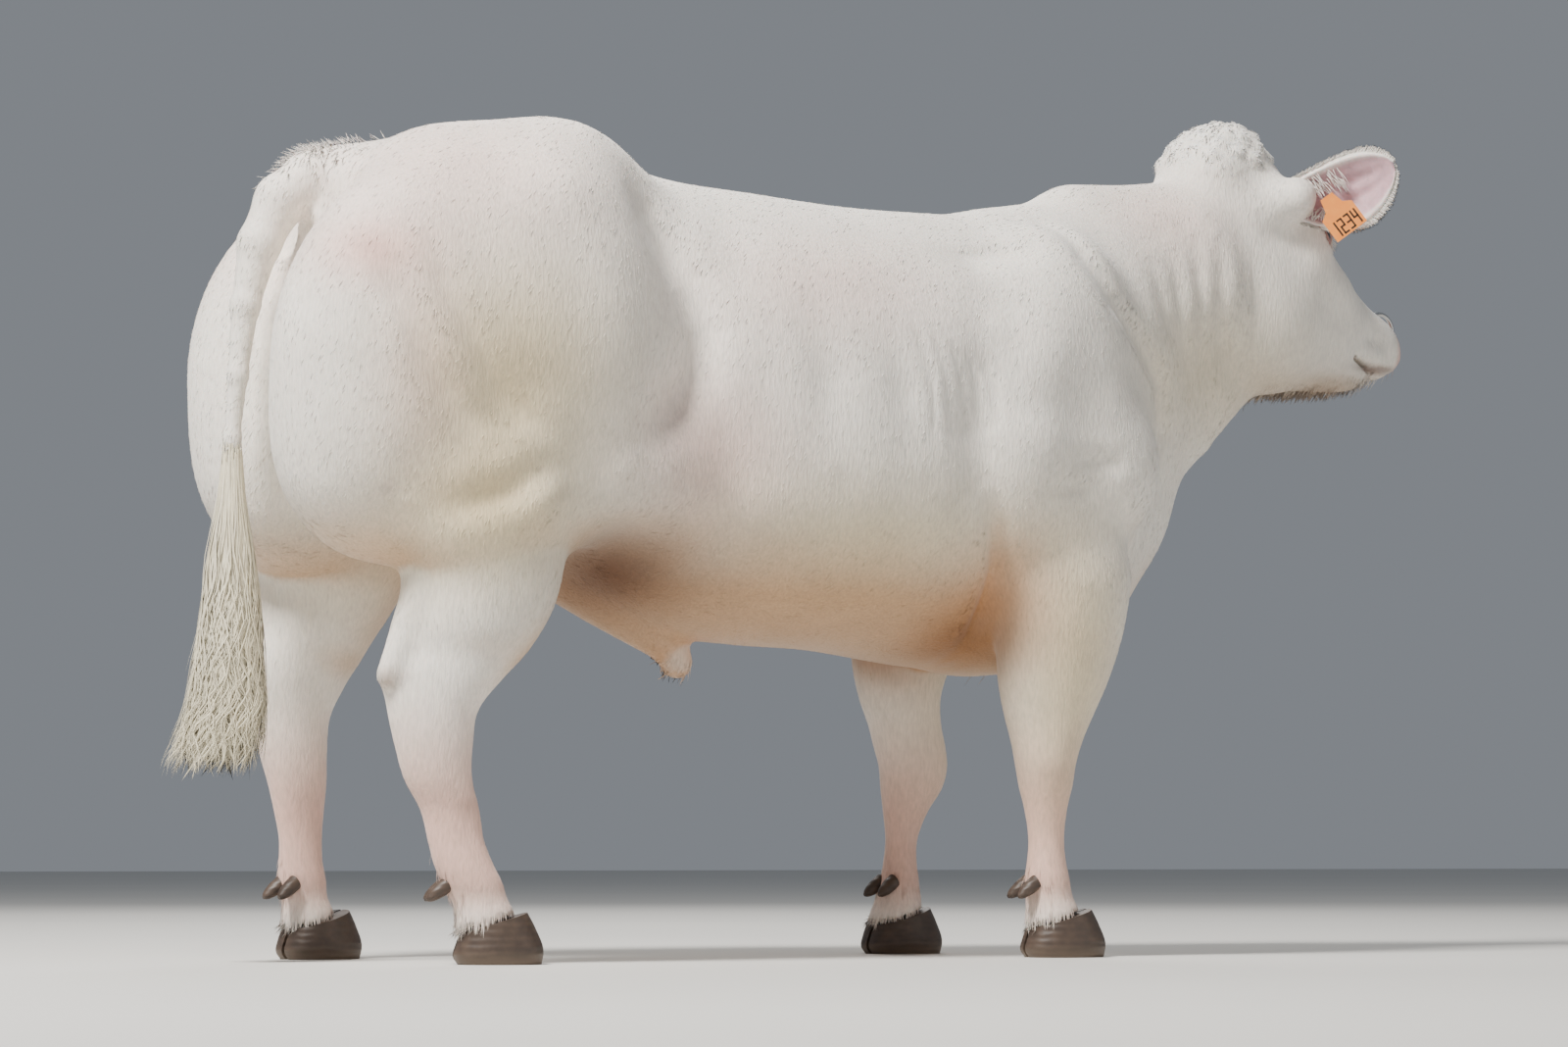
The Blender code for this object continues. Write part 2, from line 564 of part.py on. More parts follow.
# Clumps of the poll, their radius, and the turn between one and the next.
# Half width and edge radius at places in it, and how far each place counts.
WIDTHS = [(0.030, 1.270, 0.080, 0.070, 0.05), (-0.02, 1.180, 0.090, 0.08, 0.05),
          (0.110, 1.210, 0.092, 0.07, 0.05),
          (0.200, 1.150, 0.103, 0.055, 0.04), (0.130, 1.080, 0.104, 0.07, 0.05),
          (0.145, 0.990, 0.107, 0.07, 0.05),
          (0.135, 0.910, 0.084, 0.055, 0.04), (0.260, 1.110, 0.074, 0.050, 0.03),
          (0.260, 1.020, 0.084, 0.050, 0.04),
          (0.250, 0.930, 0.066, 0.045, 0.04), (0.340, 1.030, 0.056, 0.042, 0.03),
          (0.335, 0.940, 0.055, 0.035, 0.03),
          (0.415, 0.975, 0.062, 0.045, 0.03), (0.380, 0.922, 0.044, 0.030, 0.02)]


def head(clay):
    def face(yaw=0, pitch=44):
        return turned(TURN + yaw, pitch, 0)

    skull = Pillow(PROFILE, WIDTHS, 2.3, HEAD, TURN)
    clay.add(skull, 0.04)
    # Curly hair of the poll, as rounded clumps set close.
    middle = hp(0.065, 0, 1.225)
    for k in range(POLL_CLUMPS):
        rise = 1 - 0.80 * (k + 0.5) / POLL_CLUMPS
        level = math.sqrt(1 - rise * rise)
        way = np.array([level * math.cos(GOLDEN * k), level * math.sin(GOLDEN * k), rise])
        near, far = 0.0, 0.16
        for _ in range(12):
            half = (near + far) / 2
            here = (middle + way * half).reshape(3, 1, 1, 1)
            near, far = (half, far) if skull.distance(*here).item() < 0 else (near, half)
        clay.add(Ball(middle + way * (near - 0.012), (CLUMP, CLUMP, CLUMP)), 0.006)
    # Muzzle, and the chin set back under it.
    clay.add(Ball(hp(0.396, 0, 0.974), (0.050, 0.069, 0.040), face(0, 62)), 0.02)
    for v in (-1, 1):
        # Orbit, the bar below it, cheek muscle, jaw edge, and the side of the upper lip.
        clay.add(Ball(hp(0.184, v * 0.084, 1.142), (0.048, 0.029, 0.036), face(v * 14, 40)), 0.03)
        clay.add(Taper(hp(0.200, v * 0.082, 1.088), hp(0.310, v * 0.052, 1.012), 0.022, 0.018), 0.05)
        clay.add(Ball(hp(0.135, v * 0.062, 1.000), (0.085, 0.044, 0.100), face(0, 18)), 0.05)
        clay.add(Ball(hp(0.265, v * 0.050, 0.965), (0.052, 0.026, 0.034), face(v * -6, 14)), 0.045)
        clay.add(Taper(hp(0.150, v * 0.052, 0.926), hp(0.330, v * 0.026, 0.924), 0.034, 0.022), 0.03)
        clay.add(Ball(hp(0.372, v * 0.039, 0.954), (0.050, 0.030, 0.024), face(0, 12)), 0.015)
        # Fleshy root of the ear.
        root, axis, _ = ear_place(v)
        clay.add(Taper(hp(0.090, v * 0.052, 1.165), root + axis * 0.030, 0.046, 0.033), 0.03)
        # Lids, open in an almond over the eye.
        centre, axes = eye_place(v)
        clay.add(Ball(centre, (0.030, 0.023, 0.025), axes), 0.010)
        clay.cut(Ball(centre + axes[2] * 0.016, (0.0200, 0.0115, 0.021), axes), 0.004)
        # Nostril: a comma, wide and open in front, drawn out to the side.
        hole, way = hp(0.447, v * 0.034, 0.985), face(v * 38, 30)
        clay.cut(Ball(hole, (0.020, 0.011, 0.015), way), 0.006)
        clay.cut(Taper(hole + way[1] * v * 0.004, hp(0.428, v * 0.056, 0.996), 0.008, 0.004), 0.005)
    # Line of the mouth, from the lips back to its corners.
    line = [hp(u, 0, z) for u, z in ((0.425, 0.926), (0.395, 0.928), (0.355, 0.936), (0.312, 0.949))]
    for p, q in zip(line[:-1], line[1:]):
        clay.cut(Slot(p, q, 0.0035, TURN), 0.005)


class Slot:
    """A slit across the head, following a line from a to b in side view, thick either side of it."""

    def __init__(self, a, b, thick, yaw):
        self.a, self.b, self.thick, self.turn = np.array(a, float), np.array(b, float), thick, np.radians(yaw)
        self.low = np.minimum(self.a, self.b) - 0.09
        self.high = np.maximum(self.a, self.b) + 0.09

    def distance(self, x, y, z):
        c, s = np.cos(self.turn), np.sin(self.turn)
        p, q = (x - self.a[0]) * c + (y - self.a[1]) * s, z - self.a[2]
        side = np.abs(-(x - self.a[0]) * s + (y - self.a[1]) * c)
        d = self.b - self.a
        run, rise = d[0] * c + d[1] * s, d[2]
        t = np.clip((p * run + q * rise) / (run * run + rise * rise), 0, 1)
        away = np.hypot(p - run * t, q - rise * t) - self.thick
        return np.maximum(away, 0.030 - side)


def sheath(clay):
    clay.add(Taper((-0.46, 0, 0.622), (-0.205, 0, 0.470), 0.050, 0.032), 0.04)
    clay.add(Ball((-0.178, 0, 0.438), (0.028, 0.023, 0.030), turned(0, -35, 0)), 0.02)
    clay.add(Ball((-0.50, 0, 0.60), (0.070, 0.062, 0.085)), 0.03)


def relief(clay):
    """Muscle borders, creases and folds, drawn in side view on both sides."""
    # Rear: front border of the thigh, the groove down it, the crease above the gaskin, the hip.
    clay.groove([(-0.415, 1.185), (-0.360, 1.120), (-0.315, 1.045), (-0.262, 0.970), (-0.245, 0.900),
                 (-0.262, 0.840),
                 (-0.300, 0.785), (-0.345, 0.735), (-0.385, 0.690)], 0.036, 0.020)
    clay.groove([(-0.765, 1.010), (-0.735, 0.930), (-0.690, 0.835), (-0.640, 0.765),
                 (-0.595, 0.730)], 0.022, 0.010)
    clay.groove([(-0.770, 0.960), (-0.765, 0.860), (-0.750, 0.780)], 0.020, 0.003)
    clay.groove([(-0.705, 0.640), (-0.640, 0.635), (-0.565, 0.655), (-0.500, 0.690),
                 (-0.440, 0.675)], 0.026, 0.012)
    clay.groove([(-0.700, 1.020), (-0.655, 0.920), (-0.600, 0.825), (-0.545, 0.760),
                 (-0.490, 0.715)], 0.020, 0.009)
    clay.swell((-0.520, 0.645), (0.045, 0.045), 0.010)
    clay.swell((-0.440, 0.700), (0.050, 0.060), -0.008)
    clay.swell((-0.480, 1.090), (0.070, 0.060), 0.008)
    clay.swell((-0.470, 0.960), (0.050, 0.110), -0.006, 20)
    # Shoulder: its front border against the neck, upper edge, two creases of the upper arm, the hollow behind.
    clay.groove([(0.360, 1.120), (0.400, 1.050), (0.445, 0.985), (0.520, 0.930), (0.575, 0.870),
                 (0.590, 0.800),
                 (0.580, 0.720)], 0.020, 0.018)
    clay.groove([(0.130, 1.050), (0.210, 1.035), (0.300, 1.050), (0.340, 1.075)], 0.018, 0.009)
    clay.groove([(0.320, 0.722), (0.368, 0.735), (0.420, 0.735), (0.460, 0.752)], 0.016, 0.008)
    clay.groove([(0.270, 0.668), (0.320, 0.690), (0.380, 0.700), (0.440, 0.715)], 0.018, 0.007)
    clay.groove([(0.225, 0.930), (0.190, 0.850), (0.180, 0.770), (0.200, 0.690),
                 (0.235, 0.630)], 0.040, 0.018)
    clay.groove([(0.205, 0.690), (0.232, 0.630), (0.245, 0.570), (0.245, 0.500),
                 (0.243, 0.440)], 0.017, 0.022)
    clay.swell((0.300, 0.900), (0.060, 0.130), 0.008, -15)
    clay.swell((0.430, 0.860), (0.060, 0.070), 0.008)
    clay.swell((0.290, 0.760), (0.060, 0.050), 0.008)
    # Side: soft ribs and the wrinkles behind the shoulder.
    for k, x in enumerate((0.090, 0.118, 0.146, 0.172, 0.198)):
        clay.groove([(x - 0.01, 0.930 - 0.01 * k), (x + 0.012, 0.850),
                     (x + 0.022, 0.740 + 0.008 * k)], 0.008, 0.0034)
    clay.groove([(0.020, 0.940), (0.060, 0.820), (0.080, 0.700)], 0.030, 0.008)
    clay.groove([(-0.100, 0.980), (-0.060, 0.840), (-0.060, 0.700)], 0.035, 0.008)
    clay.swell((-0.190, 1.010), (0.050, 0.080), -0.006)
    clay.swell((-0.150, 0.640), (0.090, 0.060), 0.008, -20)
    # Neck: upright folds, and the crease behind the jaw.
    clay.groove([(0.610, 1.100), (0.620, 0.970), (0.665, 0.860)], 0.020, 0.0085)
    clay.groove([(0.655, 1.120), (0.665, 0.980), (0.700, 0.850)], 0.018, 0.0070)
    clay.groove([(0.700, 1.120), (0.706, 0.990), (0.735, 0.870)], 0.018, 0.0070)
    clay.groove([(0.560, 1.080), (0.585, 0.980), (0.630, 0.890)], 0.018, 0.0070)


def body(clay):
    trunk(clay)
    hindquarters(clay)
    shoulders(clay)
    legs(clay)
    sheath(clay)
    relief(clay)
    head(clay)
    return clay


TAIL = [(-0.700, 0.0, 1.125, 0.046), (-0.755, 0.0, 1.118, 0.044), (-0.800, 0.0, 1.085, 0.040),
        (-0.832, 0.0, 1.020, 0.034),
        (-0.852, 0.0, 0.930, 0.024), (-0.862, 0.0, 0.830, 0.018), (-0.868, 0.004, 0.740, 0.0155),
        (-0.868, 0.004, 0.690, 0.0150)]


def mesh_object(name, points, faces):
    data = bpy.data.meshes.new(name)
    data.from_pydata([tuple(map(float, p)) for p in points], [], [tuple(int(i) for i in f) for f in faces])
    data.validate()
    item = bpy.data.objects.new(name, data)
    bpy.context.scene.collection.objects.link(item)
    return item


def settle(item):
    """Replaces the object's mesh with what its modifiers make of it."""
    made = bpy.data.meshes.new_from_object(item.evaluated_get(bpy.context.evaluated_depsgraph_get()))
    item.modifiers.clear()
    old, item.data = item.data, made
    bpy.data.meshes.remove(old)
    made.name = item.name
    return item


def edit(item, work):
    bm = bmesh.new()
    bm.from_mesh(item.data)
    work(bm)
    bm.to_mesh(item.data)
    bm.free()
    return item


def keep_largest(bm):
    """Keeps only the largest closed surface."""
    left, best = set(bm.faces), []
    while left:
        stack, found = [left.pop()], []
        while stack:
            face = stack.pop()
            found.append(face)
            for edge in face.edges:
                for other in edge.link_faces:
                    if other in left:
                        left.remove(other)
                        stack.append(other)
        best.append(found)
    best.sort(key=len)
    for found in best[:-1]:
        bmesh.ops.delete(bm, geom=found, context="FACES")
    bmesh.ops.delete(bm, geom=[v for v in bm.verts if not v.link_faces], context="VERTS")


def sever(bm, point, normal, low=(-9, -9, -9), high=(9, 9, 9)):
    """Cuts along a plane within a box, drops the side the normal points to, and closes the cut."""
    point, normal = Vector(point), Vector(normal).normalized()
    near = [f for f in bm.faces if all(l < c < h for l, c, h in zip(low, f.calc_center_median(), high))]
    geom = list({e for f in near for e in f.edges}) + list({v for f in near for v in f.verts}) + near
    made = bmesh.ops.bisect_plane(bm, geom=geom, dist=1e-5, plane_co=point, plane_no=normal)
    rim = [e for e in made["geom_cut"] if isinstance(e, bmesh.types.BMEdge)]
    bmesh.ops.split_edges(bm, edges=rim)
    left, doomed = set(bm.faces), []
    while left:
        stack, found, beyond = [left.pop()], [], False
        while stack:
            face = stack.pop()
            found.append(face)
            c = face.calc_center_median()
            if (c - point).dot(normal) > 1e-4 and all(l < v < h for l, v, h in zip(low, c, high)):
                beyond = True
            for edge in face.edges:
                for other in edge.link_faces:
                    if other in left:
                        left.remove(other)
                        stack.append(other)
        if beyond:
            doomed += found
    bmesh.ops.delete(bm, geom=doomed, context="FACES")
    bmesh.ops.delete(bm, geom=[v for v in bm.verts if not v.link_faces], context="VERTS")
    edges = [e for e in bm.edges
             if e.is_boundary and all(abs((v.co - point).dot(normal)) < 1e-4 for v in e.verts)]
    filled = bmesh.ops.holes_fill(bm, edges=edges, sides=0)["faces"]
    bmesh.ops.triangulate(bm, faces=filled)


def flesh(name, low, high, step, budget, cuts):
    """A body part: the clay inside a box, thinned to a budget of triangles, and cut from its neighbours."""
    clay = body(Clay(*(np.arange(a, b, step) for a, b in zip(low, high))))
    item = mesh_object(name, *net(clay.axes, clay.field))

    def split(bm):
        bmesh.ops.triangulate(bm, faces=bm.faces)

    edit(item, split)
    thin = item.modifiers.new("thin", "DECIMATE")
    thin.ratio = budget / len(item.data.polygons)
    settle(item)

    def work(bm):
        for cut in cuts:
            sever(bm, *cut)
        keep_largest(bm)
        bmesh.ops.recalc_face_normals(bm, faces=bm.faces)

    return edit(item, work)


def loft(name, rings):
    """A closed solid through rings of equally many points, each ring a list of places."""
    rings = [np.asarray(r, float) for r in rings]
    n = len(rings[0])
    points = np.concatenate(rings)
    faces = []
    for k in range(len(rings) - 1):
        for i in range(n):
            j = (i + 1) % n
            faces.append((k * n + i, k * n + j, (k + 1) * n + j, (k + 1) * n + i))
    last = (len(rings) - 1) * n
    faces.append(tuple(reversed(range(n))))
    faces.append(tuple(range(last, last + n)))
    item = mesh_object(name, points, faces)

    def work(bm):
        bmesh.ops.recalc_face_normals(bm, faces=bm.faces)
        bmesh.ops.triangulate(bm, faces=bm.faces)

    return edit(item, work)


def swollen(item, by=GAP):
    """A copy of a solid, grown by a gap, for cutting room for it into its neighbour."""
    copy = item.copy()
    copy.data = item.data.copy()
    bpy.context.scene.collection.objects.link(copy)

    def work(bm):
        bm.normal_update()
        shifts = []
        for v in bm.verts:
            n = v.normal
            steep = min((n.dot(f.normal) for f in v.link_faces), default=1.0)
            shifts.append(n * (by / max(steep, 0.35)))
        for v, s in zip(bm.verts, shifts):
            v.co += s

    return edit(copy, work)


def boolean(item, other, kind):
    """Cuts `other` from `item` or joins it, and removes it. The second solver serves where the first fails."""
    start = item.data.copy()
    for solver in ("EXACT", "MANIFOLD"):
        item.data = start.copy()
        step = item.modifiers.new("step", "BOOLEAN")
        step.operation, step.solver, step.object = kind, solver, other
        settle(item)
        if item.data.polygons:
            break
    bpy.data.objects.remove(other)

    def work(bm):
        bmesh.ops.remove_doubles(bm, verts=bm.verts, dist=2e-6)
        bmesh.ops.dissolve_degenerate(bm, edges=bm.edges, dist=2e-6)
        bmesh.ops.triangulate(bm, faces=bm.faces)
        keep_largest(bm)

    return edit(item, work)


def frame_of(forward, towards):
    """Three square directions: forward, then the part of towards that is square to it, then the third."""
    f = np.array(forward, float) / np.linalg.norm(forward)
    t = np.array(towards, float)
    t = t - f * (t @ f)
    t /= np.linalg.norm(t)
    return f, t, np.cross(f, t)


def tube(name, stations, sides=10, squash=1.0):
    """A bent round rod through stations of x, y, z and radius."""
    st = np.array(stations, float)
    rings = []
    for k, row in enumerate(st):
        along = st[min(k + 1, len(st) - 1), :3] - st[max(k - 1, 0), :3]
        f, t, b = frame_of(along, (0, 1, 0))
        a = 2 * np.pi * np.arange(sides) / sides
        rings.append(row[:3] + row[3] * (np.cos(a)[:, None] * t * squash + np.sin(a)[:, None] * b))
    return loft(name, rings)


HIDE = ((0.80, 0.74, 0.66), 0.85, 0.0)
FINISH = {
    "head": HIDE, "neck": HIDE, "torso": HIDE, "hindquarters": HIDE, "leg": HIDE, "ear": HIDE, "tail": HIDE,
    "claw": ((0.10, 0.08, 0.07), 0.55, 0.0),
    "dewclaw": ((0.16, 0.13, 0.11), 0.60, 0.0),
    "eye": ((0.02, 0.015, 0.012), 0.10, 0.0),
    "tag": ((0.90, 0.36, 0.12), 0.45, 0.0),
    "nose_ring": ((0.62, 0.62, 0.63), 0.25, 1.0)}


CORONET_SLOPE = 0.30
# A claw's back, front and half width, at its sole, near it, half way up, and under the coronet.
CLAW_WALLS = ((-0.050, -0.056, -0.053, -0.046), (0.066, 0.069, 0.058, 0.046), (0.043, 0.048, 0.047, 0.044))
TAG_PLATE = [(-0.011, 0.013), (0.011, 0.013), (0.014, 0.000), (0.016, -0.008), (0.0285, -0.016),
             (0.0285, -0.056),
             (-0.0285, -0.056), (-0.0285, -0.016), (-0.016, -0.008), (-0.014, 0.000)]
RING_CENTRE = hp(0.440, 0, 1.006)


def feet():
    """Each foot: name, centre x and y at the ground, its turn outwards, and the x of the fetlock's rear."""
    return [("hind_right", -0.548, -0.200, -16, -0.078), ("hind_left", -0.666, 0.200, 14, -0.060),
            ("fore_right", 0.374, -0.170, -6, -0.056), ("fore_left", 0.270, 0.150, 6, -0.031)]


def claw_rings(x, y, yaw, side, count, rows):
    """One half of a hoof: flat sole, upright inner wall, rounded outer wall, sloping front."""
    c, s = np.cos(np.radians(yaw)), np.sin(np.radians(yaw))
    a = np.pi * np.arange(count) / (count - 1)
    rings = []
    for t in np.linspace(0, 1, rows):
        back, front, wide = (spline((0, 0.2, 0.65, 1), v, t) for v in CLAW_WALLS)
        u = (back + front) / 2 + (front - back) / 2 * np.cos(a)
        v = (0.0035 + wide * np.sin(a) ** 0.8) * side
        z = t * (CORONET + CORONET_SLOPE * u - GAP)
        rings.append(np.stack([x + u * c - v * s, y + u * s + v * c, z], 1))
    return rings


def dewclaw_rings(x, y, yaw, heel, side, count, rows):
    """A small horn behind the fetlock."""
    c, s = np.cos(np.radians(yaw)), np.sin(np.radians(yaw))
    a = 2 * np.pi * np.arange(count) / count
    rings = []
    for t in np.linspace(0, 1, rows):
        r = 0.013 * np.sqrt(1 - 0.94 * t**2.2)
        u, v, z = heel + 0.012 - 0.030 * t, side * (0.017 + 0.003 * t), 0.112 - 0.022 * t
        uu, vv, zz = u - r * np.cos(a) * 0.37, v + r * np.sin(a), z + r * np.cos(a) * 0.78
        rings.append(np.stack([x + uu * c - vv * s, y + uu * s + vv * c, zz], 1))
    return rings


EAR = [(-0.10, 0.022, 0.018, 0.034), (0.06, 0.027, 0.020, 0.036), (0.18, 0.036, 0.024, 0.030),
       (0.28, 0.044, 0.027, 0.012),
       (0.42, 0.052, 0.027, 0.005), (0.60, 0.056, 0.025, 0.004), (0.76, 0.050, 0.020, 0.004),
       (0.90, 0.034, 0.012, 0.0035),
       (0.97, 0.020, 0.006, 0.003), (1.0, 0.008, 0.002, 0.002)]


def ear_frame(side):
    """The ear's root and its directions: along it, out of its hollow, and down across it."""
    root, axis, towards = ear_place(side)
    f, n, b = frame_of(axis, towards)
    return root, f, n, (-b if b[2] > 0 else b)


def ear_spine(side, share):
    """The ear's middle line at shares of its length: bowed back, and sagging."""
    root, f, n, down = ear_frame(side)
    s = np.asarray(share)[..., None]
    arch = np.sin(np.pi * s)
    return root + f * (EAR_LENGTH * s) - n * (0.012 * arch - 0.010 * s * s) + down * (EAR_SAG * arch)


def ear(name, side):
    """A cupped leaf: its back surface, its hollow inner surface, and a solid root."""
    root, f, n, b = ear_frame(side)
    rings = []
    for s, wide, deep, thick in EAR:
        spine = ear_spine(side, s)
        a = np.linspace(-1, 1, 7)
        outer = [spine + b * (wide * t) - n * (deep * (1 - t * t)) for t in a]
        inner = [spine + b * (wide * t * 0.86) + n * (thick * (1 - abs(t) ** 3) - deep * (1 - t * t) + 0.0030)
                 for t in a[::-1]]
        rings.append(outer + inner)
    return loft(name, rings)


def eye(name, side):
    """A round eye, set in the orbit."""
    c = eye_place(side)[0]
    rings = []
    for k in range(1, 8):
        b = np.pi * k / 8
        a = 2 * np.pi * np.arange(12) / 12
        r = EYE
        across, level = r * np.sin(b), np.full(12, c[2] + r * np.cos(b))
        rings.append(np.stack([c[0] + across * np.cos(a), c[1] + across * np.sin(a), level], 1))
    return loft(name, rings)


def ring(name, centre, axis, major, minor, around=24, sides=6):
    """A round ring."""
    f, t, b = frame_of(axis, (0.2, 0.1, 1.0))
    points, faces = [], []
    for i in range(around):
        a = 2 * np.pi * i / around
        out = np.cos(a) * t + np.sin(a) * b
        for j in range(sides):
            c = 2 * np.pi * j / sides
            points.append(centre + out * (major + minor * np.cos(c)) + f * minor * np.sin(c))
    for i in range(around):
        for j in range(sides):
            i2, j2 = (i + 1) % around, (j + 1) % sides
            faces.append((i * sides + j, i2 * sides + j, i2 * sides + j2, i * sides + j2))
    item = mesh_object(name, points, faces)

    def work(bm):
        bmesh.ops.recalc_face_normals(bm, faces=bm.faces)
        bmesh.ops.triangulate(bm, faces=bm.faces)

    return edit(item, work)


def tag_place(side):
    """The pin of an ear tag, and the tag's outward, lengthwise and downward directions."""
    root, f, n, down = ear_frame(side)
    return root + f * 0.080 + down * 0.026, n, f * 0.94 - down * 0.34, down * 0.94 + f * 0.34


def tag(name, side):
    """A two-piece ear tag: a panel in the hollow, a pin, and a round button behind."""
    pin, n, along, down = tag_place(side)
    rings = [[pin + n * h + along * p - down * q for p, q in TAG_PLATE]
             for h in (TAG_LEVEL, TAG_LEVEL + TAG_THICK)]
    item = loft(name, rings)
    a = 2 * np.pi * np.arange(10) / 10

    def disc(r, h):
        return [pin + n * h + r * (np.cos(t) * along + np.sin(t) * down) for t in a]

    stem = loft("stem", [disc(0.003, TAG_LEVEL + TAG_THICK / 2), disc(0.003, -0.040)])
    boolean(stem, loft("cap", [disc(0.013, -0.0385), disc(0.013, -0.0410)]), "UNION")
    return boolean(item, stem, "UNION")


def lock(rows, wide, thick, twist):
    """A flat tapered lock of hair through rows of x, y, z."""
    rows = np.array(rows, float)
    rings = []
    for k, place in enumerate(rows):
        t = k / (len(rows) - 1)
        along = rows[min(k + 1, len(rows) - 1)] - rows[max(k - 1, 0)]
        f, side, out = frame_of(along, (np.sin(twist), np.cos(twist), 0.0))
        w = wide * (0.50 + 1.1 * t - 1.35 * t**3) * (1 if t < 1 else 0.4)
        h = thick * (1.0 - 0.70 * t)
        rings.append([place + side * w, place + out * h, place - side * w, place - out * h])
    return loft("lock", rings)


# The brush of the tail: height, middle and half width.
BRUSH = [(0.740, -0.868, 0.016), (0.657, -0.868, 0.024), (0.583, -0.868, 0.037), (0.508, -0.866, 0.046),
         (0.435, -0.867, 0.053), (0.360, -0.870, 0.061), (0.285, -0.886, 0.074), (0.255, -0.892, 0.076)]


def brush_at(z):
    """Middle and half width of the brush at heights z."""
    level, middle, half = np.array(BRUSH)[::-1].T
    return np.interp(z, level, middle), np.interp(z, level, half)


def switch(name):
    """The tail's brush: a core and flat locks that bend and overlap."""
    core = tube(name, [(brush_at(z)[0], 0.004, z, r) for z, r in
                       ((0.6897, 0.0150), (0.62, 0.024), (0.54, 0.031), (0.46, 0.033), (0.38, 0.024),
                        (0.33, 0.008))], 9)
    group = bpy.data.collections.new("locks")
    bpy.context.scene.collection.children.link(group)
    rng = np.random.default_rng(8)
    for k in range(SWITCH_LOCKS):
        a = GOLDEN * k
        tier = (k + 0.5) / SWITCH_LOCKS
        top = 0.660 - 0.17 * tier
        low = 0.262 + 0.06 * (k % 3) + rng.uniform(0, 0.02)
        rows = []
        for j in range(6):
            t = j / 5
            z = top + (low - top) * t
            middle, half = brush_at(z)
            r = half * (0.42 + 0.40 * t + 0.12 * (k % 2))
            wave = 0.010 * np.sin(5.6 * t + 1.7 * k) * t
            rows.append([middle + r * np.cos(a) - wave * np.sin(a), 0.004 + r * np.sin(a) + wave * np.cos(a), z])
        piece = lock(rows, 0.0185, 0.0085, a)
        bpy.context.scene.collection.objects.unlink(piece)
        group.objects.link(piece)
    step = core.modifiers.new("join", "BOOLEAN")
    step.operand_type, step.collection, step.solver, step.operation = "COLLECTION", group, "EXACT", "UNION"
    settle(core)
    for piece in list(group.objects):
        bpy.data.objects.remove(piece)
    bpy.data.collections.remove(group)

    def work(bm):
        bmesh.ops.remove_doubles(bm, verts=bm.verts, dist=2e-6)
        bmesh.ops.dissolve_degenerate(bm, edges=bm.edges, dist=2e-6)
        bmesh.ops.triangulate(bm, faces=bm.faces)
        keep_largest(bm)

    return edit(core, work)


